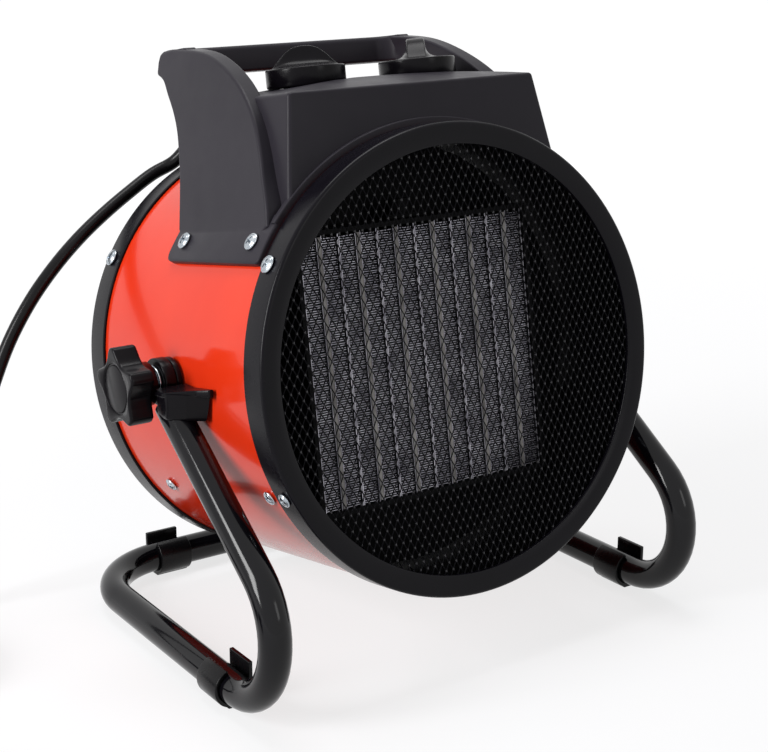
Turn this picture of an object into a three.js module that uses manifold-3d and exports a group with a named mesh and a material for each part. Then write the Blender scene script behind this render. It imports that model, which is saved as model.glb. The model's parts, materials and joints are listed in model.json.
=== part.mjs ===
// A drum-shaped forced air heater on a bent-tube stand.
//
// Units are millimetres. X runs to the right seen from the front, Y runs back and Z runs up.
// The origin is on the floor, under the middle of the heater's width and depth, and the heater
// looks along -Y with its nose tilted up.
// Most pieces are drawn in the drum's own frame, whose origin is the centre of the front ring's
// face and whose Y axis is the drum's axis. The group at the end tilts that frame about the side
// pivots and stands it on the floor.

import * as THREE from 'three';
import { mergeVertices } from 'three/addons/utils/BufferGeometryUtils.js';
import Module from 'manifold-3d';

const wasm = await Module();
wasm.setup();

// ---------------------------------------------------------------- driving dimensions

const GAP = 0.3; // left between touching pieces
const DEGREE = Math.PI / 180;

// Drum
const DRUM_LENGTH = 174.3; // front ring's face to rear ring's face
const RING_R = 110; // outside of both end rings
const RING_BAND = 15.7; // length of a ring along the drum
const RING_LIP_R = 99.5; // opening in a ring's face
const SHELL_R = 108.5; // outside of the painted shell
const SHELL_WALL = 1.2;
const DRUM_SIDES = 44;
const GRILLE_Y = 3.4; // front of the grille behind the ring's face
const GRILLE_WALL = 1;

// Tilt of the drum in the stand
const TILT = 9.66 * DEGREE; // nose up
const PIVOT_DRUM_Y = 84.5; // pivot in the drum's frame
const PIVOT_DRUM_Z = 3.4;
const PIVOT_Y = 4.3; // pivot in the floor frame
const PIVOT_Z = 136.4;

// Stand, a tube of 15 mm
const TUBE_R = 7.5;
const TUBE_Z = 10; // centreline of the floor runs
const TUBE_SIDES = 12;
const BEND_STEPS = 9;
const REAR_BAR_Y = 90.2;
const LEG_SLOPE = 34.6 * DEGREE; // leg above the floor, rising backwards
const LEG_DROP = 0.7; // leg's line under the pivot
const LEG_TOP_X = 116.5;
const LEG_NOSE_X = 121.2; // at the sharp corner that the front bend rounds off
const REAR_CORNER_X = 118.4;
const FRONT_BEND_R = 34.1;
const REAR_BEND_R = 41.5;
const LEG_TOP_GAP = 14; // tube's end to the pivot
const FOOT_LENGTH = 18;
const FOOT_WALL = 2;
const FOOT_TAB_Z = 10.6; // tab's top above the tube's centre
const FOOT_WRAP = 252; // clockwise from the tab's side to the sleeve's free edge, in degrees
const FRONT_FOOT_Y = -57;
const REAR_FOOT_X = 70.8;

// Side clamps, from the shell outwards
const SPACER_R = 10.8;
const SPACER_X = [109.3, 112.3];
const EYE_R = 11.2;
const EYE_X = [112.6, 118.4];
const EYE_INSIDE_X = 109.9; // the leg's socket is open towards the drum inside this
const SOCKET_Z = [-11.6, -0.4]; // under the pivot
// Plans of the socket and of the ledge on it, clear of the clamp: x, and y from the pivot
const SOCKET_PLAN = [[109, -14.5], [126, -14.5], [126, -21], [125, -25.2], [121.6, -28.8], [116.4, -32.4],
  [112, -35.4], [109, -36.9]];
const LEDGE_PLAN = [[109, -14.5], [126.6, -14.5], [126.6, -20], [124.8, -24.6], [119.5, -29.8],
  [114.4, -35], [112.2, -38.6], [109, -40.3]];
const WASHER_R = 8.2;
const WASHER_X = [118.8, 120.9];
const KNOB_X = [121.3, 127, 138.9]; // inner end, shoulder and face
const KNOB_HUB_R = 10.3;
const KNOB_PHASE = 89.7 * DEGREE; // first lobe, from the drum's +Y towards its +Z
const KNOB_LOBES = 5;
const KNOB_LOBE = [[0, 19.2], [7, 18.8], [13, 17], [20, 15.2], [28, 14.1], [36, 13.7]]; // degrees, radius
const STUD_R = 3.9;

// Control housing, in the drum's frame
const CHEEK_LEAN = 0.235; // inward lean of the cheeks, x per z
const CREASE = [87.3, 70.2]; // x and z where a cheek meets its flange
const CHEEK_WALL = 9;
const FLANGE_R = [109, 112];
const FLANGE_ANGLE = [38.8, 30.6]; // above the horizontal, at the crease and at the lower edge
const FLANGE_Y = [17, 104];
const BOX_FRONT_Y = [18, 22]; // at the bottom and at the top of the panel
const BOX_REAR_Y = 100;
const BOX_TOP_Z = 134.4; // crown of the panel
const BOX_TOP_R = 430; // crown's radius
const BOX_HALF_TOP = 69; // half width of the panel at its top corners
const BOX_SIDE_SLOPE = 0.165; // x per z
const LIP_R = 112.8; // narrow lip along the foot of the panel, just behind the front ring
const LIP_Y = [17, 20.5];
const BOX_WALL = 2.6;
const BAR_Y = [127, 144.6];
const BAR_Z = [143.5, 156.8];
const DIAL_AT = [32.2, 65]; // x and y of a panel knob's axis
const DIAL_R = 18.9;
const DIAL_Z = [132.2, 141];
const DIAL_PEAK_Z = 151;
const DIAL_WELL_Z = 131.5; // floor of the round well under a panel knob
const SELECTOR_TURN = 55.8 * DEGREE; // fin's direction from +X in the photographed setting
const THERMOSTAT_TURN = -34.2 * DEGREE;
const SPINDLE_R = 3;
const SPINDLE_Z = [114, 138];

// Heating element
const ELEMENT_HALF = 64;
const ELEMENT_Y = [34, 58];
const ROW_COUNT = 6;

// Fan
const FAN_Y = [141, 161];
const FAN_R = 88;
const FAN_HUB_R = 21;
const FAN_BLADES = 7;
const MOTOR_Y = [92, 134];
const MOTOR_R = 27;
const SHAFT_R = 2.5;

// Mains lead
const CORD_R = 3.5;
const GLAND_AT = [-38, 117]; // x and z in the drum's frame
const GLAND_R = 8.5;
const BOOT_Y = [96, 138]; // strain relief, from inside the housing to its tip
const COIL_AT = [-246, 55.4];
const COIL_OUTER_R = 51;
const COIL_TURNS = 4.25;
const COIL_PITCH = 7.6;
const COIL_Z = 3.9; // centreline of the lower layer

// Plug on the lead
const PLUG_LENGTH = 64;
const PLUG_RIM_Y = 52; // back edge of the rim that it lies on
const PLUG_R = 18;
const PLUG_TAIL_R = 6;
const PLUG_TIP = Math.asin((PLUG_R - PLUG_TAIL_R) / PLUG_RIM_Y); // how far its nose points up

// Colours
const PAINT_RED = { color: 0xd8261a, roughness: 0.25, metalness: 0 };
const RING_BLACK = { color: 0x17161a, roughness: 0.38, metalness: 0 };
const TUBE_BLACK = { color: 0x0f0f12, roughness: 0.22, metalness: 0 };
const HOUSING_GREY = { color: 0x343238, roughness: 0.6, metalness: 0 };
const KNOB_BLACK = { color: 0x1b1a1e, roughness: 0.45, metalness: 0 };
const RUBBER_BLACK = { color: 0x121214, roughness: 0.7, metalness: 0 };
const ZINC = { color: 0xb9bec4, roughness: 0.3, metalness: 1 };
const SHEET_STEEL = { color: 0x9a9da0, roughness: 0.45, metalness: 1 };
const ALUMINIUM = { color: 0x9b9b98, roughness: 0.5, metalness: 1 };
const DARK_SHEET = { color: 0x1c1c1f, roughness: 0.6, metalness: 0.3 };
const WHITE_PLASTIC = { color: 0xd9d6cc, roughness: 0.5, metalness: 0 };

// ---------------------------------------------------------------- geometry helpers

const vec2 = (x, y) => new THREE.Vector2(x, y);
const vec3 = (x, y, z) => new THREE.Vector3(x, y, z);

// Shared vertices merged, zero-area triangles dropped and all faces pointing out.
function closed(source) {
  const bare = source.clone();
  for (const name of Object.keys(bare.attributes)) if (name !== 'position') bare.deleteAttribute(name);
  const merged = mergeVertices(bare, 1e-4);
  const at = merged.attributes.position;
  const corner = (i) => vec3(at.getX(i), at.getY(i), at.getZ(i));
  const index = [];
  let volume = 0;
  for (let i = 0; i < merged.index.count; i += 3) {
    const [a, b, c] = [0, 1, 2].map((k) => merged.index.getX(i + k));
    if (a === b || b === c || c === a) continue;
    index.push(a, b, c);
    volume += corner(a).dot(corner(b).cross(corner(c)));
  }
  merged.setIndex(volume < 0 ? index.reverse() : index);
  return merged;
}

function solid(geometry) {
  const body = closed(geometry);
  return new wasm.Manifold(new wasm.Mesh({
    numProp: 3,
    vertProperties: new Float32Array(body.attributes.position.array),
    triVerts: new Uint32Array(body.index.array),
  }));
}

function toGeometry(manifold) {
  const mesh = manifold.getMesh();
  const geometry = new THREE.BufferGeometry();
  geometry.setAttribute('position', new THREE.BufferAttribute(new Float32Array(mesh.vertProperties), 3));
  geometry.setIndex(new THREE.BufferAttribute(new Uint32Array(mesh.triVerts), 1));
  return geometry;
}

// One body: the first list joined, less the second list.
function carve(joined, removed = []) {
  let body = solid(joined[0]);
  for (const piece of joined.slice(1)) body = body.add(solid(piece));
  for (const piece of removed) body = body.subtract(solid(piece));
  return toGeometry(body);
}

const common = (a, b) => toGeometry(solid(a).intersect(solid(b)));

// A ring or disc about the drum's axis, from [radius, y] points.
function turned(points, sides = DRUM_SIDES) {
  return new THREE.LatheGeometry(points.map(([r, y]) => vec2(r, y)), sides);
}

function rod(radius, length, sides = 12) {
  return new THREE.CylinderGeometry(radius, radius, length, sides);
}

// Rods between two values on an axis, centred on the other two coordinates.
const rodX = (radius, [x0, x1], y, z, sides) => rod(radius, x1 - x0, sides)
  .rotateZ(Math.PI / 2).translate((x0 + x1) / 2, y, z);
const rodY = (radius, [y0, y1], x, z, sides) => rod(radius, y1 - y0, sides).translate(x, (y0 + y1) / 2, z);
const rodZ = (radius, [z0, z1], x, y, sides) => rod(radius, z1 - z0, sides)
  .rotateX(Math.PI / 2).translate(x, y, (z0 + z1) / 2);

function block([x0, x1], [y0, y1], [z0, z1]) {
  return new THREE.BoxGeometry(x1 - x0, y1 - y0, z1 - z0)
    .translate((x0 + x1) / 2, (y0 + y1) / 2, (z0 + z1) / 2);
}

const shapeOf = (points) => new THREE.Shape(points.map(([u, v]) => vec2(u, v)));
const prism = (shape, depth, curveSegments = 8) => new THREE.ExtrudeGeometry(
  shape, { depth, bevelEnabled: false, curveSegments });

const AXIS_X = vec3(1, 0, 0);
const AXIS_Y = vec3(0, 1, 0);
const AXIS_Z = vec3(0, 0, 1);

// A (y, z) outline run from x0 to x1, and an (x, z) outline run from y0 to y1.
const alongX = (shape, [x0, x1], segments) => prism(shape, x1 - x0, segments)
  .applyMatrix4(new THREE.Matrix4().makeBasis(AXIS_Y, AXIS_Z, AXIS_X)).translate(x0, 0, 0);
const alongY = (shape, [y0, y1], segments) => prism(shape, y1 - y0, segments)
  .applyMatrix4(new THREE.Matrix4().makeBasis(AXIS_X, AXIS_Z, vec3(0, -1, 0))).translate(0, y1, 0);
const alongZ = (shape, [z0, z1], segments) => prism(shape, z1 - z0, segments).translate(0, 0, z0);

// Mirrored left for right.
const mirrored = (geometry) => closed(geometry.clone().scale(-1, 1, 1));

function circle(radius, sides) {
  const points = [];
  for (let i = 0; i < sides; i++) {
    const turn = (2 * Math.PI * i) / sides;
    points.push([radius * Math.cos(turn), radius * Math.sin(turn)]);
  }
  return shapeOf(points);
}

// Points of an arc from one angle to another, in degrees.
function arc([u, v], radius, from, to, steps) {
  const points = [];
  for (let i = 0; i <= steps; i++) {
    const turn = (from + ((to - from) * i) / steps) * DEGREE;
    points.push([u + radius * Math.cos(turn), v + radius * Math.sin(turn)]);
  }
  return points;
}

// A solid skin over rings of points that run the same way round, with flat ends.
function lofted(rings) {
  const sides = rings[0].length;
  const points = [...rings.flat(), middle(rings[0]), middle(rings[rings.length - 1])];
  const index = [];
  for (let i = 0; i + 1 < rings.length; i++) {
    for (let j = 0; j < sides; j++) {
      const [a, b] = [i * sides + j, i * sides + ((j + 1) % sides)];
      index.push(a, b, b + sides, a, b + sides, a + sides);
    }
  }
  const last = (rings.length - 1) * sides;
  for (let j = 0; j < sides; j++) {
    const next = (j + 1) % sides;
    index.push(points.length - 2, next, j, points.length - 1, last + j, last + next);
  }
  const geometry = new THREE.BufferGeometry().setFromPoints(points);
  geometry.setIndex(index);
  return closed(geometry);
}

function middle(ring) {
  const sum = vec3(0, 0, 0);
  for (const point of ring) sum.add(point);
  return sum.divideScalar(ring.length);
}

// Points of the arc that rounds a corner, from one tangent point to the other.
function roundedCorner(centre, start, end) {
  const u = start.clone().sub(centre);
  const w = end.clone().sub(centre);
  const angle = u.angleTo(w);
  const v = u.clone().cross(w).normalize().cross(u);
  const points = [];
  for (let i = 0; i <= BEND_STEPS; i++) {
    const turn = (angle * i) / BEND_STEPS;
    points.push(centre.clone().addScaledVector(u, Math.cos(turn)).addScaledVector(v, Math.sin(turn)));
  }
  return points;
}

// Points along a route through corners, each rounded by its own radius.
function bentRoute(corners, radii) {
  const route = [corners[0]];
  for (let i = 1; i + 1 < corners.length; i++) {
    const back = corners[i - 1].clone().sub(corners[i]).normalize();
    const ahead = corners[i + 1].clone().sub(corners[i]).normalize();
    const half = back.angleTo(ahead) / 2;
    const run = radii[i - 1] / Math.tan(half);
    const start = corners[i].clone().addScaledVector(back, run);
    const end = corners[i].clone().addScaledVector(ahead, run);
    const centre = corners[i].clone()
      .addScaledVector(back.clone().add(ahead).normalize(), radii[i - 1] / Math.sin(half));
    route.push(...roundedCorner(centre, start, end));
  }
  return [...route, corners[corners.length - 1]];
}

// A round bar or tube through every given point.
function strand(points, radius, sides) {
  const rings = [];
  let side = null;
  for (let i = 0; i < points.length; i++) {
    const ahead = points[Math.min(i + 1, points.length - 1)].clone()
      .sub(points[Math.max(i - 1, 0)]).normalize();
    if (!side) side = ahead.clone().cross(AXIS_Z).normalize();
    side.addScaledVector(ahead, -side.dot(ahead)).normalize();
    const up = side.clone().cross(ahead);
    rings.push(arc([0, 0], radius, 0, 360 - 360 / sides, sides - 1)
      .map(([u, v]) => points[i].clone().addScaledVector(side, u).addScaledVector(up, v)));
  }
  return lofted(rings);
}

// ---------------------------------------------------------------- screws

const SCREW_HEAD_R = [3.5, 4.3]; // small and large heads
const SCREW_HEAD = 2.3;
const SCREW_SHANK_R = 1.6;
const SCREW_SHANK = 7;

// A pan-head screw whose head rests on a drum surface of the given radius, at an angle from +X
// towards +Z.
function panScrew(seatRadius, angle, y, headRadius) {
  const profile = [[0, -SCREW_SHANK], [SCREW_SHANK_R, -SCREW_SHANK], [SCREW_SHANK_R, GAP],
    [headRadius, GAP], [headRadius * 0.9, SCREW_HEAD * 0.75],
    [headRadius * 0.5, SCREW_HEAD], [0, SCREW_HEAD]];
  return turned(profile, 8).rotateX(Math.PI / 2).rotateY((90 - angle) * DEGREE)
    .translate(seatRadius * Math.cos(angle * DEGREE), y, seatRadius * Math.sin(angle * DEGREE));
}

// The hole that lets a screw's shank through the walls under it.
function screwHole(angle, y) {
  return rod(SCREW_SHANK_R + GAP, 24, 8).rotateX(Math.PI / 2).translate(0, 0, FLANGE_R[1])
    .rotateY((90 - angle) * DEGREE).translate(0, y, 0);
}

const [SMALL_HEAD, LARGE_HEAD] = SCREW_HEAD_R;
const SCREWS = {
  ring_screw_upper: { seat: RING_R, angle: 30.9, y: 10, head: LARGE_HEAD },
  ring_screw_lower: { seat: RING_R, angle: -24.5, y: 6.6, head: SMALL_HEAD },
  flange_screw_front: { seat: FLANGE_R[1], angle: 35.9, y: 28.7, head: LARGE_HEAD },
  flange_screw_rear: { seat: FLANGE_R[1], angle: 35.9, y: 92.2, head: LARGE_HEAD },
  shell_screw_front: { seat: SHELL_R, angle: -25.9, y: 24.1, head: SMALL_HEAD },
  shell_screw_rear: { seat: SHELL_R, angle: -31, y: 130.7, head: SMALL_HEAD },
};

const bothSides = ({ angle, y }) => [screwHole(angle, y), screwHole(180 - angle, y)];
const holesFor = (...names) => names.flatMap((name) => bothSides(SCREWS[name]));

// ---------------------------------------------------------------- drum

function frontRing() {
  const profile = [[RING_LIP_R, 3], [RING_LIP_R, 1.2], [101, 0.3], [105, 0], [107.6, 0.5], [109.3, 1.9],
    [RING_R, 4], [RING_R, RING_BAND], [SHELL_R + GAP, RING_BAND], [SHELL_R + GAP, 3], [RING_LIP_R, 3]];
  return carve([turned(profile)], holesFor('ring_screw_upper', 'ring_screw_lower'));
}

function rearRing() {
  const back = DRUM_LENGTH;
  const profile = [[SHELL_R + GAP, back - RING_BAND], [RING_R, back - RING_BAND], [RING_R, back - 4],
    [109.3, back - 1.9], [107.6, back - 0.5], [105, back], [RING_LIP_R, back], [RING_LIP_R, back - 3],
    [SHELL_R + GAP, back - 3], [SHELL_R + GAP, back - RING_BAND]];
  return turned(profile);
}

function drumShell() {
  const inner = SHELL_R - SHELL_WALL;
  const ends = [GRILLE_Y + GRILLE_WALL + GAP, DRUM_LENGTH - GRILLE_Y - GRILLE_WALL - GAP];
  const profile = [[inner, ends[0]], [SHELL_R, ends[0]], [SHELL_R, ends[1]], [inner, ends[1]],
    [inner, ends[0]]];
  const studHole = rodX(STUD_R + 0.5, [-120, 120], PIVOT_DRUM_Y, PIVOT_DRUM_Z, 12);
  const wireHole = rodZ(9, [90, 120], 0, 82, 12);
  return carve([turned(profile)],
    [studHole, wireHole, ...holesFor(...Object.keys(SCREWS))]);
}

// A round plate full of diamond gaps, as expanded metal is.
function meshPlate(y, pitchX, pitchZ, strandWidth, rim) {
  const plate = circle(SHELL_R - 0.6, DRUM_SIDES);
  const halfX = pitchX / 2 - strandWidth * 0.62;
  const halfZ = pitchZ / 2 - strandWidth * 0.9;
  const rows = Math.ceil(SHELL_R / pitchZ) * 2;
  for (let row = -rows; row <= rows; row++) {
    const shift = row % 2 ? pitchX / 2 : 0;
    for (let column = -20; column <= 20; column++) {
      const [x, z] = [column * pitchX + shift, (row * pitchZ) / 2];
      if (Math.hypot(Math.abs(x) + halfX, z) > rim || Math.hypot(x, Math.abs(z) + halfZ) > rim) continue;
      plate.holes.push(new THREE.Path([vec2(x + halfX, z), vec2(x, z + halfZ), vec2(x - halfX, z),
        vec2(x, z - halfZ)]));
    }
  }
  return alongY(plate, [y, y + GRILLE_WALL]);
}

const frontGrille = () => meshPlate(GRILLE_Y, 18, 31, 1.9, RING_LIP_R - 0.5);
const rearGrille = () => meshPlate(DRUM_LENGTH - GRILLE_Y - GRILLE_WALL, 27, 46, 2.8, RING_LIP_R - 0.5);

// ---------------------------------------------------------------- inside the drum

// Side rails inside the shell, which the lower screws hold and which carry the element and the fan motor.
function chassisRail() {
  const outer = SHELL_R - SHELL_WALL - 0.5;
  const outline = [...arc([0, 0], outer, -42, -18, 6), ...arc([0, 0], outer - 2, -18, -42, 6)];
  const foot = [[outer - 24, -38], [outer - 24, -40], [outer - 9, -40], [outer - 9, -38]];
  const rail = alongY(shapeOf(outline), [17, 139]);
  return carve([rail, alongY(shapeOf(foot), [66, 130])],
    holesFor('shell_screw_front', 'shell_screw_rear', 'ring_screw_lower'));
}

const ROW_WIDTH = (2 * ELEMENT_HALF) / ROW_COUNT;
const STRIP_HALF = 1.5;

// One row of the element: a ceramic strip between two bands of folded fins.
function elementRow(x) {
  const half = ROW_WIDTH / 2 - GAP / 2;
  const [front, back] = ELEMENT_Y;
  const fins = block([x - half, x + half], [front + 1, back - 1], [-ELEMENT_HALF, ELEMENT_HALF]);
  const strip = block([x - STRIP_HALF, x + STRIP_HALF], ELEMENT_Y, [0.6 - ELEMENT_HALF, ELEMENT_HALF - 0.6]);
  return carve([fins, strip]);
}

function elementFrame() {
  const inner = ELEMENT_HALF + GAP;
  const outer = inner + 2.2;
  const depth = [ELEMENT_Y[0] - 1, ELEMENT_Y[1] + 1];
  const seat = outer + 12;
  const around = block([-outer, outer], depth, [-outer, outer]);
  const opening = block([-inner, inner], [0, 90], [-inner, inner]);
  const ears = block([-seat, seat], [ELEMENT_Y[1] - 1.2, ELEMENT_Y[1] + 1], [-8, 8]);
  return carve([around, ears], [opening]);
}

// The plate that closes the space round the element, so that all the air goes through the fins.
function bafflePlate() {
  const opening = ELEMENT_HALF - 2.5;
  const y = [ELEMENT_Y[1] + 1 + GAP, ELEMENT_Y[1] + 2.5 + GAP];
  return carve([rodY(104, y, 0, 0, 40)], [block([-opening, opening], [0, 90], [-opening, opening])]);
}

function thermalCutout() {
  const z = ELEMENT_HALF + 2.5 + GAP;
  return carve([block([-11, 11], [40, 52], [z, z + 2]), rodZ(6, [z + 1, z + 9], 0, 46, 12)]);
}

function fanMotor() {
  const [back, nose] = MOTOR_Y;
  const boss = [[0, back], [MOTOR_R - 4, back], [MOTOR_R, back + 4], [MOTOR_R, nose - 6],
    [MOTOR_R - 3, nose - 3], [9, nose - 3], [9, nose], [0, nose]];
  return carve([turned(boss, 20)], [rodY(SHAFT_R + GAP, [nose - 24, 200], 0, 0, 12)]);
}

const motorShaft = () => rodY(SHAFT_R, [MOTOR_Y[1] - 20, FAN_Y[1] + 4], 0, 0, 12);

// Three arms from the motor's nose out to the rails and to the top of the drum.
function motorBracket() {
  const y = [MOTOR_Y[1] - 3 + GAP, MOTOR_Y[1] - 1.5 + GAP];
  const reach = SHELL_R - SHELL_WALL - 3.4;
  const arms = [90, -37, 217].map((turn) => block([0, reach], y, [-7, 7]).rotateY(-turn * DEGREE));
  return carve([rodY(MOTOR_R + 3, y, 0, 0, 24), ...arms], [rodY(9 + GAP, [0, 200], 0, 0, 24)]);
}

function impeller() {
  const hub = turned([[0, FAN_Y[0]], [FAN_HUB_R, FAN_Y[0]], [FAN_HUB_R, FAN_Y[1] - 3],
    [FAN_HUB_R - 4, FAN_Y[1]], [0, FAN_Y[1]]], 20);
  const blades = [];
  for (let i = 0; i < FAN_BLADES; i++) {
    blades.push(fanBlade().rotateY((2 * Math.PI * i) / FAN_BLADES));
  }
  return carve([hub, ...blades], [rodY(SHAFT_R + GAP, [100, 200], 0, 0, 12)]);
}

// A blade is a thin plate, steep at the hub and flatter and wider at its tip.
function fanBlade() {
  const middleY = (FAN_Y[0] + FAN_Y[1]) / 2;
  const stations = [[FAN_HUB_R - 4, 11, 48], [(FAN_HUB_R + FAN_R) / 2, 18, 34], [FAN_R, 22, 22]];
  return lofted(stations.map(([radius, half, pitch]) => {
    const along = vec3(Math.cos(pitch * DEGREE), Math.sin(pitch * DEGREE), 0);
    const across = vec3(-Math.sin(pitch * DEGREE), Math.cos(pitch * DEGREE), 0);
    return [[-half, -0.7], [half, -0.7], [half, 0.7], [-half, 0.7]].map(([u, v]) => vec3(0, middleY, 0)
      .addScaledVector(along, u * 0.72).addScaledVector(across, v).add(vec3(0, 0, radius)));
  }));
}

// ---------------------------------------------------------------- control housing and handle

// Outline of a cheek in (y, z): flat flank below, round front, handle end at the top rear.
const CHEEK_OUTLINE = [[21.5, 72], [24, 81], [29, 92], [34.5, 105], [42, 118], [51, 128],
  [61.5, 136.4], [77, 145], [95, 151.8], [117, 155.6], [138, 156.8], [143, 155.8], [144.6, 153],
  [144.2, 145.4], [137.5, 142.6], [131, 135], [123.5, 126.5], [117.6, 117.5], [113, 106],
  [109.5, 94], [105, 70.2], [95, 66], [30, 66]];

const lean = new THREE.Matrix4().set(1, 0, -CHEEK_LEAN, CREASE[0] + CHEEK_LEAN * CREASE[1],
  0, 1, 0, 0, 0, 0, 1, 0, 0, 0, 0, 1);

const cheek = () => alongX(shapeOf(CHEEK_OUTLINE), [-CHEEK_WALL, 0]).applyMatrix4(lean);

function flange() {
  const [upper, lower] = FLANGE_ANGLE;
  const outline = [...arc([0, 0], FLANGE_R[1], lower, upper + 4, 4),
    ...arc([0, 0], FLANGE_R[0], upper + 4, lower, 4)];
  return alongY(shapeOf(outline), FLANGE_Y);
}

// The lip joins both flanges along the foot of the panel.
function panelLip() {
  const start = FLANGE_ANGLE[0] + 2;
  const outline = [...arc([0, 0], LIP_R, start, 180 - start, 24),
    ...arc([0, 0], FLANGE_R[0] - 1, 180 - start, start, 24)];
  return alongY(shapeOf(outline), LIP_Y);
}

// Half width of the box at a height, less an inset.
const boxHalf = (z, inset) => BOX_HALF_TOP + BOX_SIDE_SLOPE * (BOX_TOP_Z - 5.5 - z) - inset;

// The box between the cheeks: panel in front, crowned top, drawn as a prism whose front leans back.
function boxBody(inset) {
  const floor = 62;
  const crest = BOX_TOP_Z - inset;
  const corner = Math.asin((BOX_HALF_TOP - inset) / BOX_TOP_R) / DEGREE;
  const top = arc([0, crest - BOX_TOP_R], BOX_TOP_R, 90 - corner, 90 + corner, 12);
  const outline = [[-boxHalf(floor, inset), floor], [boxHalf(floor, inset), floor], ...top];
  const slope = (BOX_FRONT_Y[1] - BOX_FRONT_Y[0]) / (BOX_TOP_Z - 87);
  const leaning = new THREE.Matrix4().set(1, 0, 0, 0, 0, 1, slope, -slope * 87, 0, 0, 1, 0, 0, 0, 0, 1);
  const back = BOX_REAR_Y - inset;
  const leaned = alongY(shapeOf(outline), [BOX_FRONT_Y[0] + inset, back + 20]).applyMatrix4(leaning);
  return common(leaned, block([-200, 200], [-50, back], [0, 200]));
}

// The bar runs between the cheeks and meets them in round inner corners.
function handleBar() {
  const reach = 67;
  const inner = 61.5;
  const round = 10;
  const [front, back] = BAR_Y;
  const outline = [[-reach, back], [-reach, front - round],
    ...arc([-inner + round, front - round], round, 180, 90, 5),
    ...arc([inner - round, front - round], round, 90, 0, 5), [reach, front - round], [reach, back]];
  const plan = alongZ(shapeOf(outline), BAR_Z);
  const [low, high] = BAR_Z;
  const section = [[front - round - 1, low], [back - 3, low], [back, low + 3], [back, high - 3.4],
    [back - 1.4, high - 1], [back - 4.6, high], [front + 5, high - 0.6], [front + 1, high - 2.4],
    [front - round - 1, high - 4]];
  return common(plan, alongX(shapeOf(section), [-80, 80]));
}

function controlHousing() {
  const drumSide = rodY(FLANGE_R[0], [-20, 200], 0, 0, DRUM_SIDES * 2);
  const bothDials = (radius, span, sides) => [-1, 1]
    .map((side) => rodZ(radius, span, side * DIAL_AT[0], DIAL_AT[1], sides));
  const wells = bothDials(DIAL_R + 1.6, [DIAL_WELL_Z, 140], 24);
  const spindles = bothDials(SPINDLE_R + 1, [110, 140], 12);
  const glandHole = rodY(GLAND_R - 1.4, [80, 120], ...GLAND_AT, 16);
  const hollow = common(boxBody(BOX_WALL), block([-90, 90], [0, 110], [0, DIAL_WELL_Z - BOX_WALL]));
  return carve([boxBody(0), cheek(), mirrored(cheek()), flange(), mirrored(flange()), panelLip(),
    handleBar()],
    [hollow, drumSide, ...wells, ...spindles, glandHole,
      ...holesFor('flange_screw_front', 'flange_screw_rear')]);
}

// Under the box's top: a switch body with a bore for its spindle.
function switchBody(side, width, depth, height) {
  const [x, y] = [side * DIAL_AT[0], DIAL_AT[1]];
  const top = DIAL_WELL_Z - BOX_WALL - GAP;
  return carve([block([x - width / 2, x + width / 2], [y - depth / 2, y + depth / 2], [top - height, top])],
    [rodZ(SPINDLE_R + GAP, [SPINDLE_Z[0] - GAP, 150], x, y, 12)]);
}

function terminalBlock() {
  const screws = [-18, -6, 6, 18].map((x) => rodZ(2.6, [121, 123.5], x, 88, 8));
  return carve([block([-26, 26], [83, 94], [111.5, 122]), ...screws]);
}

// A panel knob: a round skirt with a finger fin whose flanks are hollowed.
function panelKnob(side, turn) {
  const [low, high] = DIAL_Z;
  const skirt = turned([[0, low], [DIAL_R, low], [DIAL_R, low + 1], [DIAL_R - 0.3, high - 1.6],
    [DIAL_R - 1.6, high], [0, high]], 28);
  const crest = arc([0, high - 3.2], 14.2, 171, 9, 10).map(([u, v]) => [u, Math.min(v, DIAL_PEAK_Z)]);
  const archShape = [[-13.6, high - 1], ...crest, [13.6, high - 1]];
  const half = [[4.2, DIAL_PEAK_Z + 2], [4.5, high + 6.4], [5.7, high + 3.6], [7.9, high + 1.2],
    [9.2, high - 1]];
  const flank = [...half.map(([u, v]) => [-u, v]).reverse(), ...half];
  const fin = common(alongY(shapeOf(archShape), [-12, 12]), alongX(shapeOf(flank), [-16, 16]));
  const bore = rodZ(SPINDLE_R + GAP, [low - 1, SPINDLE_Z[1] + GAP], 0, 0, 12);
  return carve([skirt.rotateX(Math.PI / 2), fin], [bore]).rotateZ(turn)
    .translate(side * DIAL_AT[0], DIAL_AT[1], 0);
}

const spindle = (side) => rodZ(SPINDLE_R, SPINDLE_Z, side * DIAL_AT[0], DIAL_AT[1], 12);

// ---------------------------------------------------------------- side clamps, about the pivot

// Five round tips with nearly straight sides between them.
function lobeOutline() {
  const points = [];
  for (let lobe = 0; lobe < KNOB_LOBES; lobe++) {
    const tip = KNOB_PHASE + (2 * Math.PI * lobe) / KNOB_LOBES;
    for (const side of [-1, 1]) {
      const steps = side < 0 ? KNOB_LOBE.slice(1, -1).reverse() : KNOB_LOBE;
      for (const [off, radius] of steps) {
        const turn = tip + side * off * DEGREE;
        points.push([radius * Math.cos(turn), radius * Math.sin(turn)]);
      }
    }
  }
  return shapeOf(points);
}

// The knob is moulded round its threaded stud, which reaches through the eye into the nut.
function clampKnob() {
  const [inner, shoulder, face] = KNOB_X;
  const body = alongX(lobeOutline(), [shoulder, face]);
  const hub = rodX(KNOB_HUB_R, [inner, shoulder + 1], 0, 0, 20);
  const recess = rodX(11.6, [face - 1, face + 1], 0, 0, 20);
  const stud = rodX(STUD_R, [SHELL_R - 14, inner + 4], 0, 0, 12);
  return carve([body, hub, stud], [recess]);
}

const bored = (radius, span, bore, sides) => carve([rodX(radius, span, 0, 0, sides)],
  [rodX(bore, [80, 160], 0, 0, 12)]);

const clampWasher = () => bored(WASHER_R, WASHER_X, STUD_R + GAP, 20);

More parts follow.
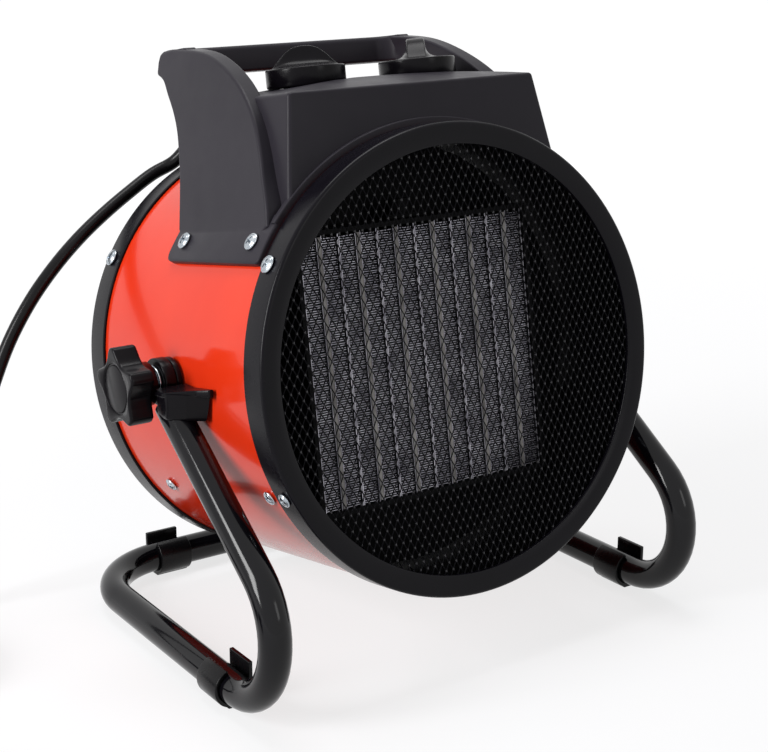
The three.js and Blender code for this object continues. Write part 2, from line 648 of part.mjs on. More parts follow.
// The spacer's inner face is hollowed to sit on the round shell.
function pivotSpacer() {
  const shell = rodY(SHELL_R + GAP, [-60, 60], 0, -PIVOT_DRUM_Z, DRUM_SIDES * 2);
  return carve([rodX(SPACER_R, [SPACER_X[0] - 1.6, SPACER_X[1]], 0, 0, 24)],
    [shell, rodX(STUD_R + GAP, [80, 160], 0, 0, 12)]);
}

function clampNut() {
  const inside = SHELL_R - SHELL_WALL - 1.7;
  const plate = block([inside - 2.2, inside], [-15, 15], [-11, 11]);
  return carve([plate, rodX(7.5, [inside - 9, inside - 1], 0, 0, 6)],
    [rodX(STUD_R + GAP, [80, 160], 0, 0, 12)]);
}

// ---------------------------------------------------------------- stand

function legCorners(side) {
  const run = (PIVOT_Z - LEG_DROP - TUBE_Z) / Math.tan(LEG_SLOPE);
  const top = vec3(side * LEG_TOP_X, PIVOT_Y, PIVOT_Z - LEG_DROP);
  const nose = vec3(side * LEG_NOSE_X, PIVOT_Y - run, TUBE_Z);
  const start = top.clone().addScaledVector(nose.clone().sub(top).normalize(), LEG_TOP_GAP);
  return [start, nose, vec3(side * REAR_CORNER_X, REAR_BAR_Y, TUBE_Z)];
}

// The tube, or the room that a piece clipped onto it leaves for it.
function standTube(clearance = 0) {
  const corners = [...legCorners(-1), ...legCorners(1).reverse()];
  const route = bentRoute(corners, [FRONT_BEND_R, REAR_BEND_R, REAR_BEND_R, FRONT_BEND_R]);
  return strand(route, TUBE_R + clearance, TUBE_SIDES);
}

// The eye on the clamp's stud, with the ledge and the tapered socket that hold the leg's end.
function standEye() {
  const [start, nose] = legCorners(1);
  const down = nose.clone().sub(start).normalize();
  const eye = rodX(EYE_R, EYE_X, PIVOT_Y, PIVOT_Z, 24);
  const arm = alongX(shapeOf([[PIVOT_Y - 2, PIVOT_Z - 12], [PIVOT_Y - 2, PIVOT_Z - 3.4],
    [PIVOT_Y - 20, PIVOT_Z + 0.6], [PIVOT_Y - 24, PIVOT_Z - 12], [PIVOT_Y - 14, PIVOT_Z - 19]]), EYE_X);
  const plan = (points, span) => alongZ(shapeOf(points), span).translate(0, PIVOT_Y, PIVOT_Z);
  const side = alongX(shapeOf([[-14, -1.6], [-14, 0.6], [-17, 0.8], [-41, 5.4], [-41, 1.4], [-17, -0.9]]),
    [100, 140]).translate(0, PIVOT_Y, PIVOT_Z);
  const ledge = common(plan(LEDGE_PLAN, [-10, 10]), side);
  const socket = plan(SOCKET_PLAN, SOCKET_Z);
  const bolt = rodX(STUD_R + 0.5, [80, 160], PIVOT_Y, PIVOT_Z, 12);
  const tube = strand([start.clone().addScaledVector(down, -GAP), start.clone().addScaledVector(down, 60)],
    TUBE_R + 0.4, TUBE_SIDES);
  const drumSide = block([90, EYE_INSIDE_X], [-80, 60], [60, 180]);
  return carve([eye, arm, ledge, socket], [bolt, tube, drumSide]);
}

// A clip-on foot round a level tube: a sleeve on one side, a flat sole and an upright tab.
function footClip() {
  const inner = TUBE_R + 0.1;
  const outer = inner + FOOT_WALL;
  const outline = shapeOf([[inner + 0.2, FOOT_TAB_Z], [inner + 0.2, 0], ...arc([0, 0], inner, -8, -FOOT_WRAP, 12),
    ...arc([0, 0], outer, 360 - FOOT_WRAP, 248, 8), [-2.6, -TUBE_Z], [outer + 0.4, -TUBE_Z], [outer + 0.4, FOOT_TAB_Z]]);
  return prism(outline, FOOT_LENGTH).translate(0, 0, -FOOT_LENGTH / 2);
}

const clipped = (foot) => carve([foot], [standTube(GAP)]);

// Tab on +X of a side run, and on +Y of the rear bar.
const sideRunX = (y) => REAR_CORNER_X
  + ((LEG_NOSE_X - REAR_CORNER_X) * (REAR_BAR_Y - y)) / (REAR_BAR_Y - legCorners(1)[1].y);
const frontFoot = (side) => clipped(footClip().rotateX(Math.PI / 2)
  .rotateZ(Math.atan2(side * (LEG_NOSE_X - REAR_CORNER_X), REAR_BAR_Y - legCorners(1)[1].y))
  .translate(side * sideRunX(FRONT_FOOT_Y), FRONT_FOOT_Y, TUBE_Z));
const rearFoot = (side) => clipped(footClip().rotateX(Math.PI / 2).rotateZ(Math.PI / 2)
  .translate(side * REAR_FOOT_X, REAR_BAR_Y, TUBE_Z));

// ---------------------------------------------------------------- mains lead

// The boot is clamped in the housing's rear wall and tapers down to the cord.
function cordBoot() {
  const [inside, tip] = BOOT_Y;
  const wall = BOX_REAR_Y;
  const groove = wall - BOX_WALL - 0.4;
  const profile = [[0, inside], [GLAND_R - 0.6, inside], [GLAND_R - 0.6, groove], [GLAND_R - 2, groove],
    [GLAND_R - 2, wall + GAP], [GLAND_R, wall + GAP], [GLAND_R, wall + 4], [7, wall + 6], [5.2, tip - 1],
    [4.7, tip], [0, tip]];
  return turned(profile, 12).translate(GLAND_AT[0], 0, GLAND_AT[1]);
}

// A point and a direction of the drum's frame, in the floor frame.
function fromDrum([x, y, z]) {
  const [dy, dz] = [y - PIVOT_DRUM_Y, z - PIVOT_DRUM_Z];
  return vec3(x, PIVOT_Y + dy * Math.cos(TILT) + dz * Math.sin(TILT),
    PIVOT_Z - dy * Math.sin(TILT) + dz * Math.cos(TILT));
}

// From the boot's tip the lead swings left, falls behind the heater and meets the coil's upper layer.
const LEAD_POINTS = [[-39.4, 109.7, 227.2], [-46, 117.2, 217],
  [-57, 120.2, 211.3], [-71, 119.2, 203.6], [-88, 116.7, 193.8], [-104.3, 113.7, 183.1],
  [-120, 110.7, 170.4], [-134.5, 108.2, 155.5], [-147.5, 106.7, 137], [-157.5, 105.7, 117],
  [-166, 105.3, 95.5], [-174, 105.5, 73], [-183, 105.9, 51], [-195, 106.3, 31.7],
  [-210, 106.4, 18.2], [-226, 106.4, 12.4]];

function coilPoint(t) {
  const half = COIL_TURNS / 2;
  const inward = half - Math.abs(t - half);
  const radius = COIL_OUTER_R - COIL_PITCH * inward;
  const climb = THREE.MathUtils.clamp((t - half) / 0.5 + 0.5, 0, 1);
  const turn = Math.PI / 2 + 2 * Math.PI * t;
  return vec3(COIL_AT[0] + radius * Math.cos(turn), COIL_AT[1] + radius * Math.sin(turn),
    COIL_Z + COIL_PITCH * (1 - climb));
}

// The coil's loops, with one cord diameter run straight at each end.
function coilPoints() {
  const steps = Math.round(COIL_TURNS * 24);
  const points = [];
  for (let i = 0; i <= steps; i++) points.push(coilPoint((COIL_TURNS * i) / steps));
  points.unshift(points[0].clone().add(vec3(2 * CORD_R, 0, 0)));
  points.push(points[points.length - 1].clone().add(vec3(0, -2 * CORD_R, 0)));
  return points;
}

// Least distance between the skins of two loops that aren't neighbours along the strand.
function coilGap() {
  const points = [];
  for (let t = 0; t <= COIL_TURNS; t += 1 / 90) points.push(coilPoint(t));
  let least = Infinity;
  for (let i = 0; i < points.length; i++) {
    for (let j = i + 40; j < points.length; j++) least = Math.min(least, points[i].distanceTo(points[j]));
  }
  return least - 2 * CORD_R;
}

const COIL_ENDS = coilPoints();
const COIL_START = COIL_ENDS[0];
const COIL_END = COIL_ENDS[COIL_ENDS.length - 1];

function leadRoute() {
  const tip = fromDrum([GLAND_AT[0], BOOT_Y[1] + GAP, GLAND_AT[1]]);
  const out = fromDrum([GLAND_AT[0], BOOT_Y[1] + GAP + 2 * CORD_R, GLAND_AT[1]]);
  const end = COIL_START.clone().add(vec3(GAP, 0, 0));
  const drop = LEAD_POINTS.map((point) => vec3(...point));
  return [tip, out, ...drop, end.clone().add(vec3(2 * CORD_R, 0, 0)), end];
}

// The short stretch from the coil to the plug.
const PLUG_AT = vec3(COIL_END.x - 9, COIL_END.y - 42, 7); // where the lead enters the plug
function tailRoute() {
  const start = COIL_END.clone().add(vec3(0, -GAP, 0));
  const back = vec3(0, Math.cos(PLUG_TIP), -Math.sin(PLUG_TIP));
  const end = PLUG_AT.clone().addScaledVector(back, GAP);
  return [start, start.clone().add(vec3(0, -2 * CORD_R, 0)), vec3(start.x - 3.6, start.y - 20, 4),
    end.clone().addScaledVector(back, 2 * CORD_R), end];
}

const smooth = (points) => new THREE.CatmullRomCurve3(points, false, 'centripetal');
const CORD_STEP = 5 * CORD_R; // two and a half diameters

function cordTube(points) {
  const path = smooth(points);
  const steps = Math.round(path.getLength() / CORD_STEP);
  return new THREE.ExtrudeGeometry(circle(CORD_R, 8), { extrudePath: path, steps, bevelEnabled: false });
}

// A round two-pin plug that lies on the rim of its face and on its tail.
function plug() {
  const profile = [[0, 0], [PLUG_TAIL_R, 0], [6.4, 17], [12.2, 22], [14, 36], [14.3, 47],
    [PLUG_R, PLUG_RIM_Y], [PLUG_R, PLUG_LENGTH], [0, PLUG_LENGTH]];
  const pins = [-9.5, 9.5].map((x) => rodY(2.4, [PLUG_LENGTH - 1, PLUG_LENGTH + 19], x, 0, 10));
  return carve([turned(profile, 18), ...pins]).rotateZ(Math.PI).rotateX(-PLUG_TIP)
    .translate(PLUG_AT.x, PLUG_AT.y, PLUG_AT.z);
}

// ---------------------------------------------------------------- assembly

function mesh(name, geometry, look) {
  const piece = new THREE.Mesh(closed(geometry), new THREE.MeshStandardMaterial(look));
  piece.name = name;
  return piece;
}

// A piece and its mirror image, left being -X.
function pair(name, geometry, look) {
  return [mesh(`${name}_left`, mirrored(geometry), look), mesh(`${name}_right`, geometry, look)];
}

const drum = new THREE.Group();
drum.add(mesh('drum_shell', drumShell(), PAINT_RED));
drum.add(mesh('front_ring', frontRing(), RING_BLACK));
drum.add(mesh('rear_ring', rearRing(), RING_BLACK));
drum.add(mesh('front_grille', frontGrille(), DARK_SHEET));
drum.add(mesh('rear_grille', rearGrille(), DARK_SHEET));
drum.add(...pair('chassis_rail', chassisRail(), DARK_SHEET));
for (let row = 0; row < ROW_COUNT; row++) {
  drum.add(mesh(`ptc_row_${row + 1}`, elementRow((row - (ROW_COUNT - 1) / 2) * ROW_WIDTH), ALUMINIUM));
}
drum.add(mesh('element_frame', elementFrame(), DARK_SHEET));
drum.add(mesh('baffle_plate', bafflePlate(), DARK_SHEET));
drum.add(mesh('thermal_cutout', thermalCutout(), WHITE_PLASTIC));
drum.add(mesh('fan_motor', fanMotor(), SHEET_STEEL));
drum.add(mesh('motor_bracket', motorBracket(), SHEET_STEEL));
drum.add(mesh('motor_shaft', motorShaft(), ZINC));
drum.add(mesh('impeller', impeller(), DARK_SHEET));
drum.add(mesh('control_housing', controlHousing(), HOUSING_GREY));
drum.add(mesh('thermostat', switchBody(-1, 30, 34, 16), WHITE_PLASTIC));
drum.add(mesh('power_switch', switchBody(1, 26, 26, 15), WHITE_PLASTIC));
drum.add(mesh('thermostat_spindle', spindle(-1), ZINC));
drum.add(mesh('switch_spindle', spindle(1), ZINC));
drum.add(mesh('thermostat_knob', panelKnob(-1, THERMOSTAT_TURN), KNOB_BLACK));
drum.add(mesh('power_knob', panelKnob(1, SELECTOR_TURN), KNOB_BLACK));
drum.add(mesh('terminal_block', terminalBlock(), WHITE_PLASTIC));
drum.add(mesh('cord_boot', cordBoot(), RUBBER_BLACK));
for (const [name, { seat, angle, y, head }] of Object.entries(SCREWS)) {
  drum.add(...pair(name, panScrew(seat, angle, y, head), ZINC));
}

const clamps = new THREE.Group();
clamps.position.set(0, PIVOT_DRUM_Y, PIVOT_DRUM_Z);
clamps.add(...pair('clamp_knob', clampKnob(), KNOB_BLACK));
clamps.add(...pair('clamp_washer', clampWasher(), ZINC));
clamps.add(...pair('pivot_spacer', pivotSpacer(), KNOB_BLACK));
clamps.add(...pair('clamp_nut', clampNut(), SHEET_STEEL));
drum.add(clamps);
drum.position.set(0, -PIVOT_DRUM_Y, -PIVOT_DRUM_Z);

const tilted = new THREE.Group();
tilted.add(drum);
tilted.rotation.x = -TILT;
tilted.position.set(0, PIVOT_Y, PIVOT_Z);

const stand = new THREE.Group();
stand.add(mesh('stand_tube', standTube(), TUBE_BLACK));
stand.add(...pair('stand_eye', standEye(), KNOB_BLACK));
stand.add(mesh('foot_front_left', frontFoot(-1), RUBBER_BLACK));
stand.add(mesh('foot_front_right', frontFoot(1), RUBBER_BLACK));
stand.add(mesh('foot_rear_left', rearFoot(-1), RUBBER_BLACK));
stand.add(mesh('foot_rear_right', rearFoot(1), RUBBER_BLACK));

const lead = new THREE.Group();
lead.add(mesh('cord_lead', cordTube(leadRoute()), RUBBER_BLACK));
lead.add(mesh('cord_coil', strand(COIL_ENDS, CORD_R, 6), RUBBER_BLACK));
lead.add(mesh('cord_tail', cordTube(tailRoute()), RUBBER_BLACK));
lead.add(mesh('mains_plug', plug(), RUBBER_BLACK));

const lengths = [leadRoute(), COIL_ENDS, tailRoute()].map((points) => smooth(points).getLength());
console.log(`coil: least gap between loops ${coilGap().toFixed(2)} mm`);
console.log(`cord: ${lengths.map((length) => length.toFixed(0)).join(' + ')} mm`);

const heater = new THREE.Group();
heater.add(tilted, stand, lead);

export default heater;
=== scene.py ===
"""Looks of the forced air heater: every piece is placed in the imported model's frame, in metres."""
import json
import math

import bmesh
import bpy
import numpy as np
from mathutils import Matrix, Vector


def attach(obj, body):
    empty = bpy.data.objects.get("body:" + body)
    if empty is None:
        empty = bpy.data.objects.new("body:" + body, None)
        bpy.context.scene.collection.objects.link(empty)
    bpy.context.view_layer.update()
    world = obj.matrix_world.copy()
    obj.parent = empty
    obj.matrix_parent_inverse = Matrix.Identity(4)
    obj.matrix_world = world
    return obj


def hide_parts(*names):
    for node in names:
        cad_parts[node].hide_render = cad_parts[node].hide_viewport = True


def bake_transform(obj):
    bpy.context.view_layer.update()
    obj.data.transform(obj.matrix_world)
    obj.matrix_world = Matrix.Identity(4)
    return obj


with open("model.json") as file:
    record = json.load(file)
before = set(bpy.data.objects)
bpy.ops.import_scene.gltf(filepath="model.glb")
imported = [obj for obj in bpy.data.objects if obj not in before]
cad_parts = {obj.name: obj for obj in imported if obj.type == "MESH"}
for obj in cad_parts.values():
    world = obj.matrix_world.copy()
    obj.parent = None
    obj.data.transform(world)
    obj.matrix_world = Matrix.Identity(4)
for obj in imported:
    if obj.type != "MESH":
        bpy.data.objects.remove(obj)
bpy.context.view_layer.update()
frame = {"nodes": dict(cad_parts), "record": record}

scene = bpy.context.scene

# -------------------- sizes, in millimetres

MM = 0.001
TILT = math.radians(9.66)          # nose up
PIVOT_IN_DRUM = Vector((0, 84.5, 3.4))
PIVOT = Vector((0, 4.3, 136.4))

# Places: the floor frame, the drum's own frame, and the clamps' frame about the pivot.
FLOOR = Matrix.Scale(MM, 4)
CLAMPS = FLOOR @ Matrix.Translation(PIVOT) @ Matrix.Rotation(-TILT, 4, "X")
DRUM = CLAMPS @ Matrix.Translation(-PIVOT_IN_DRUM)

DRUM_LENGTH, RING_R, RING_BAND, RING_LIP_R = 174.3, 110.0, 15.7, 99.5
SHELL_R, SHELL_WALL = 108.5, 1.2
GRILLE_Y = 3.4

# -------------------- camera

CAMERA_AT, CAMERA_AIM = (-0.455, -0.668, 0.363), Vector((0.5386, 0.7925, -0.2862))   # metres, direction
SENSOR, LENS, SHIFT = 36, 78.70, (0.0187, -0.0027)   # millimetres, the shift in picture widths
NEAREST, FARTHEST = 0.01, 30   # metres

camera_data = bpy.data.cameras.new("photo_camera")
camera = bpy.data.objects.new("photo_camera", camera_data)
scene.collection.objects.link(camera)
scene.camera = camera
camera.location = CAMERA_AT
camera.rotation_mode = "QUATERNION"
camera.rotation_quaternion = CAMERA_AIM.to_track_quat("-Z", "Y")
camera_data.sensor_width = SENSOR
camera_data.lens = LENS
camera_data.shift_x, camera_data.shift_y = SHIFT
camera_data.clip_start, camera_data.clip_end = NEAREST, FARTHEST

# -------------------- materials


def noise(tree, scale, detail):
    where = tree.nodes.new("ShaderNodeTexCoord")
    texture = tree.nodes.new("ShaderNodeTexNoise")
    texture.inputs["Scale"].default_value = scale
    texture.inputs["Detail"].default_value = detail
    texture.inputs["Roughness"].default_value = 0.55
    tree.links.new(where.outputs["Object"], texture.inputs["Vector"])
    return texture.outputs["Fac"]


def spread(tree, value, low, high, start=0.3, end=0.7):
    """Maps a value's stretch from start to end, by default a noise's, to a range."""
    node = tree.nodes.new("ShaderNodeMapRange")
    for socket, number in (("From Min", start), ("From Max", end), ("To Min", low), ("To Max", high)):
        node.inputs[socket].default_value = number
    tree.links.new(value, node.inputs["Value"])
    return node.outputs["Result"]


def tinted(tree, value, dark, light):
    """Maps a noise value to a colour between dark and light."""
    node = tree.nodes.new("ShaderNodeValToRGB")
    for stop, place, colour in zip(node.color_ramp.elements, (0.3, 0.7), (dark, light)):
        stop.position, stop.color = place, (*colour, 1)
    tree.links.new(value, node.inputs["Fac"])
    return node.outputs["Color"]


def bumped(tree, principled, layers):
    """Stacks bumps: each layer is a height value, its strength and its depth in metres."""
    last = None
    for height, strength, depth in layers:
        bump = tree.nodes.new("ShaderNodeBump")
        bump.inputs["Strength"].default_value = strength
        bump.inputs["Distance"].default_value = depth
        tree.links.new(height, bump.inputs["Height"])
        if last:
            tree.links.new(last, bump.inputs["Normal"])
        last = bump.outputs["Normal"]
    tree.links.new(last, principled.inputs["Normal"])


def plain(name, dark, light, rough, metal=0.0, coat=0.0, grain=(900, 0.25, 0.0001), broad=14,
          wave=(40, 0.1, 0.0004), specular=0.5):
    """A surface with a fine grain, a broad wave, and drifting colour and roughness.

    grain and wave are a noise's scale, a strength and a depth in metres, and broad is the drift's scale.
    """
    look = bpy.data.materials.new(name)
    look.use_nodes = True
    tree = look.node_tree
    principled = tree.nodes["Principled BSDF"]
    middle = [(a + b) / 2 for a, b in zip(dark, light)]
    for socket, value in (("Base Color", (*middle, 1)), ("Roughness", sum(rough) / 2), ("Metallic", metal),
                          ("Coat Weight", coat), ("Coat Roughness", 0.05), ("Specular IOR Level", specular)):
        principled.inputs[socket].default_value = value
    link = tree.links.new
    link(tinted(tree, noise(tree, broad, 4.0), dark, light), principled.inputs["Base Color"])
    link(spread(tree, noise(tree, broad * 5, 5.0), *rough), principled.inputs["Roughness"])
    bumped(tree, principled, [(noise(tree, wave[0], 2.0), *wave[1:]),
                              (noise(tree, grain[0], 3.0), *grain[1:])])
    return look


LOOKS = {
    "red_paint": plain("red_paint", (0.74, 0.031, 0.006), (0.81, 0.041, 0.009), (0.15, 0.22), coat=0.2,
                       grain=(700, 0.06, 0.0001), wave=(60, 0.05, 0.0003), specular=0.16),
    "ring_paint": plain("ring_paint", (0.0028, 0.0023, 0.0042), (0.0048, 0.0041, 0.0066), (0.22, 0.3),
                        grain=(2600, 0.12, 0.00005), wave=(90, 0.05, 0.0002), specular=0.13),
    "tube_paint": plain("tube_paint", (0.002, 0.0018, 0.003), (0.004, 0.0037, 0.0055), (0.08, 0.13),
                        grain=(500, 0.05, 0.0001), wave=(70, 0.05, 0.0002), specular=0.26),
    "housing_plastic": plain("housing_plastic", (0.0205, 0.0183, 0.0242), (0.0262, 0.0234, 0.0305),
                             (0.34, 0.44), grain=(3200, 0.25, 0.00005), wave=(50, 0.05, 0.0003),
                             specular=0.13),
    "knob_plastic": plain("knob_plastic", (0.003, 0.0024, 0.0036), (0.0056, 0.0047, 0.0066), (0.18, 0.27),
                          grain=(3400, 0.15, 0.00005), wave=(90, 0.05, 0.0002), specular=0.12),
    "rubber": plain("rubber", (0.003, 0.0028, 0.0034), (0.006, 0.0057, 0.0066), (0.22, 0.32),
                    grain=(2400, 0.3, 0.00006), wave=(120, 0.08, 0.0002), specular=0.18),
    "zinc": plain("zinc", (0.30, 0.34, 0.38), (0.62, 0.66, 0.70), (0.12, 0.26), metal=1.0,
                  grain=(1800, 0.15, 0.00005), broad=160, wave=(300, 0.1, 0.0001)),
    "sheet": plain("sheet", (0.42, 0.43, 0.44), (0.60, 0.61, 0.62), (0.28, 0.48), metal=1.0,
                   grain=(900, 0.12, 0.00005), broad=70, wave=(120, 0.1, 0.0002)),
    "dark_sheet": plain("dark_sheet", (0.003, 0.003, 0.0033), (0.006, 0.006, 0.0065), (0.5, 0.7),
                        grain=(2200, 0.25, 0.00006), wave=(90, 0.05, 0.0002), specular=0.08),
    "fins": plain("fins", (0.26, 0.25, 0.30), (0.80, 0.78, 0.86), (0.3, 0.5), metal=0.85,
                  grain=(1500, 0.2, 0.00006), broad=120, wave=(200, 0.1, 0.0001)),
    "inner_plastic": plain("inner_plastic", (0.30, 0.29, 0.26), (0.38, 0.37, 0.33), (0.4, 0.55),
                           grain=(2000, 0.2, 0.00006), broad=40, wave=(90, 0.1, 0.0002), specular=0.25),
}
MESH_LOOK = plain("mesh_paint", (0.002, 0.0018, 0.003), (0.004, 0.0037, 0.0054), (0.34, 0.46),
                  grain=(1600, 0.2, 0.00006), broad=60, wave=(200, 0.1, 0.0001), specular=0.06)
# The knuckles' lighter grey is a painted glint: a highlight on each knot, painted into the colour.
PAINTED_GLINT_LOOK = plain("mesh_knuckles_painted_glint", (0.012, 0.011, 0.015), (0.036, 0.034, 0.041), (0.16, 0.3), coat=0.3,
                   grain=(1600, 0.2, 0.00006), broad=160, wave=(200, 0.1, 0.0001), specular=0.4)
# A darker look for the fins' flanks: painted shade deep between the folds.
PAINTED_SHADE_LOOK = plain("fin_flanks_painted_shade", (0.007, 0.0066, 0.0082), (0.024, 0.023, 0.027), (0.5, 0.7), metal=0.3,
                  grain=(1500, 0.2, 0.00006), broad=120, wave=(200, 0.1, 0.0001), specular=0.3)
STRIP_LOOK = plain("ceramic_strip", (0.34, 0.32, 0.31), (1.0, 0.96, 0.92), (0.45, 0.6),
                   grain=(1500, 0.3, 0.0001), broad=90, wave=(200, 0.2, 0.0002), specular=0.3)

# -------------------- mesh making

LAND = 0.3   # a flat rim left beside a rounded edge


def circle(radius, sides, start=0):
    turns = [start + 2 * math.pi * i / sides for i in range(sides)]
    return [(radius * math.cos(a), radius * math.sin(a)) for a in turns]


def arc(centre, radius, start, end, steps):
    """Points of an arc from one angle to another, in degrees."""
    angles = [math.radians(start + (end - start) * i / steps) for i in range(steps + 1)]
    return [(centre[0] + radius * math.cos(a), centre[1] + radius * math.sin(a)) for a in angles]


def eased(points, steps):
    """A centripetal Catmull-Rom curve through points."""
    p = [np.array(q, float) for q in points]
    p = [2 * p[0] - p[1]] + p + [2 * p[-1] - p[-2]]
    out = []
    for i in range(len(p) - 3):
        a, b, c, d = p[i:i + 4]
        t = [0.0]
        for u, v in ((a, b), (b, c), (c, d)):
            t.append(t[-1] + max(np.linalg.norm(v - u), 1e-9) ** 0.5)
        for k in range(steps):
            s = t[1] + (t[2] - t[1]) * k / steps
            ab = a + (b - a) * (s - t[0]) / (t[1] - t[0])
            bc = b + (c - b) * (s - t[1]) / (t[2] - t[1])
            cd = c + (d - c) * (s - t[2]) / (t[3] - t[2])
            abc = ab + (bc - ab) * (s - t[0]) / (t[2] - t[0])
            bcd = bc + (cd - bc) * (s - t[1]) / (t[3] - t[1])
            out.append(abc + (bcd - abc) * (s - t[1]) / (t[2] - t[1]))
    return [tuple(q) for q in (*out, p[-2])]


def loft(rings, wrap=False, caps=True):
    """A skin over rings of points; wrap joins the last ring to the first."""
    sides, count = len(rings[0]), len(rings)
    points = [tuple(q) for ring in rings for q in ring]
    faces = []
    for i in range(count if wrap else count - 1):
        j = (i + 1) % count
        for k in range(sides):
            m = (k + 1) % sides
            faces.append((i * sides + k, i * sides + m, j * sides + m, j * sides + k))
    if caps and not wrap:
        faces.append(tuple(range(sides))[::-1])
        faces.append(tuple((count - 1) * sides + k for k in range(sides)))
    return points, faces


def section(outline, along, axis):
    """An outline across an axis: its points are (y, z) on x, (x, z) on y, (x, y) on z."""
    return [{"x": (along, u, v), "y": (u, along, v), "z": (u, v, along)}[axis] for u, v in outline]


def lathe(profile, sides, axis="y", wrap=True):
    """(radius, place along the axis) points turned about an axis; wrap closes the outline on itself."""
    return loft([section(circle(radius, sides), along, axis) for radius, along in profile], wrap=wrap)


def prism(outline, low, high, axis):
    return loft([section(outline, along, axis) for along in (low, high)])


def box(x, y, z):
    return prism([(x[0], y[0]), (x[1], y[0]), (x[1], y[1]), (x[0], y[1])], *z, "z")


def swept(points, radius, sides):
    """A round bar through points."""
    rings, side = [], None
    path = [Vector(q) for q in points]
    for i, q in enumerate(path):
        ahead = (path[min(i + 1, len(path) - 1)] - path[max(i - 1, 0)]).normalized()
        if side is None:
            side = ahead.cross(Vector((0, 0, 1)) if abs(ahead.z) < 0.9 else Vector((1, 0, 0))).normalized()
        side = (side - ahead * side.dot(ahead)).normalized()
        up = side.cross(ahead)
        rings.append([q + side * u + up * v for u, v in circle(radius, sides)])
    return loft(rings)


def joined(*shapes):
    points, faces = [], []
    for shape in shapes:
        start = len(points)
        points += list(shape[0])
        faces += [tuple(start + i for i in face) for face in shape[1]]
    return points, faces


def moved(shape, matrix):
    return [tuple(matrix @ Vector(q)) for q in shape[0]], shape[1]


def mirror(shape):
    return [(-q[0], q[1], q[2]) for q in shape[0]], [tuple(reversed(face)) for face in shape[1]]


def build(name, shape, place=None, merge=1e-6):
    """A mesh from points and faces, with its faces turned outwards.

    Points closer than merge become one, in the shape's own unit, before it is placed.
    """
    data = bpy.data.meshes.new(name)
    data.from_pydata([tuple(q) for q in shape[0]], [], shape[1])
    work = bmesh.new()
    work.from_mesh(data)
    bmesh.ops.remove_doubles(work, verts=work.verts, dist=merge)
    bmesh.ops.dissolve_degenerate(work, edges=work.edges, dist=merge)
    if place is not None:
        bmesh.ops.transform(work, matrix=place, verts=work.verts)
    bmesh.ops.recalc_face_normals(work, faces=work.faces)
    work.to_mesh(data)
    work.free()
    return data


def shade(data, angle):
    """Smooth shading, with edges over an angle in degrees kept sharp."""
    data.polygons.foreach_set("use_smooth", [True] * len(data.polygons))
    data.set_sharp_from_angle(angle=math.radians(angle))


def piece(name, data, look, body, *nodes, slot=None, angle=40):
    """Puts a mesh in the scene on its body, in place of its CAD nodes."""
    obj = bpy.data.objects.new(name, data)
    scene.collection.objects.link(obj)
    data.materials.clear()
    data.materials.append(LOOKS[look] if isinstance(look, str) else look)
    shade(data, angle)
    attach(obj, body)
    if nodes:
        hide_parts(*nodes)
    return obj


def evaluated(obj):
    """The mesh of an object with its modifiers applied; the object goes."""
    bpy.context.view_layer.update()
    graph = bpy.context.evaluated_depsgraph_get()
    data = bpy.data.meshes.new_from_object(obj.evaluated_get(graph))
    bpy.data.objects.remove(obj)
    return data


def loose(name, shape):
    """An object on no body yet, in millimetres, for a modifier to work on."""
    obj = bpy.data.objects.new(name, build(name, shape, merge=1e-4))
    scene.collection.objects.link(obj)
    return obj


def carved(solids, cuts=()):
    """Union of solids less cuts, all in millimetres."""
    base = loose("work", solids[0])
    tools = [(loose("work", s), "UNION") for s in solids[1:]]
    tools += [(loose("work", s), "DIFFERENCE") for s in cuts]
    for tool, operation in tools:
        cut = base.modifiers.new("cut", "BOOLEAN")
        cut.object, cut.operation, cut.solver = tool, operation, "EXACT"
    data = evaluated(base)
    for tool, _ in tools:
        bpy.data.objects.remove(tool)
    return data


def inset(outline, distance):
    """The outline moved inwards by a distance, corner by corner."""
    corners = list(zip([outline[-1], *outline[:-1]], outline, [*outline[1:], outline[0]]))
    turn = 1 if sum(a * d - c * b for (a, b), (c, d), _ in corners) > 0 else -1
    made = []
    for (a, b), (c, d), (e, f) in corners:
        p, q = math.hypot(c - a, d - b), math.hypot(e - c, f - d)
        n, m = (-(d - b) / p, (c - a) / p), (-(f - d) / q, (e - c) / q)
        share = turn * distance / max(1 + n[0] * m[0] + n[1] * m[1], 0.3)
        made.append((c + (n[0] + m[0]) * share, d + (n[1] + m[1]) * share))
    return made


def rounded(corners, steps=6):
    """A closed outline from (u, v, radius) corners, sharp where the radius is 0."""
    made = []
    for i, (u, v, radius) in enumerate(corners):
        here = Vector((u, v))
        if radius == 0:
            made.append((u, v))
            continue
        back = (Vector(corners[i - 1][:2]) - here).normalized()
        ahead = (Vector(corners[(i + 1) % len(corners)][:2]) - here).normalized()
        half = math.acos(max(-1, min(1, back.dot(ahead)))) / 2
        run = radius / math.tan(half)
        centre = here + (back + ahead).normalized() * (radius / math.sin(half))
        start, end = here + back * run - centre, here + ahead * run - centre
        sweep = math.atan2(start.x * end.y - start.y * end.x, start.dot(end))
        for k in range(steps + 1):
            c, t = math.cos(sweep * k / steps), math.sin(sweep * k / steps)
            made.append((centre.x + start.x * c - start.y * t, centre.y + start.x * t + start.y * c))
    return made


def quarter(steps):
    """The angles of a quarter turn."""
    return [math.pi / 2 * k / steps for k in range(steps + 1)]


def soft_prism(outline, low, high, soft):
    """A prism along x whose end edges are rounded."""
    end = [(soft + LAND, 0)] + [(soft * (1 - math.sin(a)), soft * (1 - math.cos(a))) for a in quarter(5)]
    end.append((0, soft + LAND))
    levels = [(d, low + h) for d, h in end] + [(d, high - h) for d, h in reversed(end)]
    return loft([section(inset(outline, d) if d else outline, x, "x") for d, x in levels])


# -------------------- cord and plug

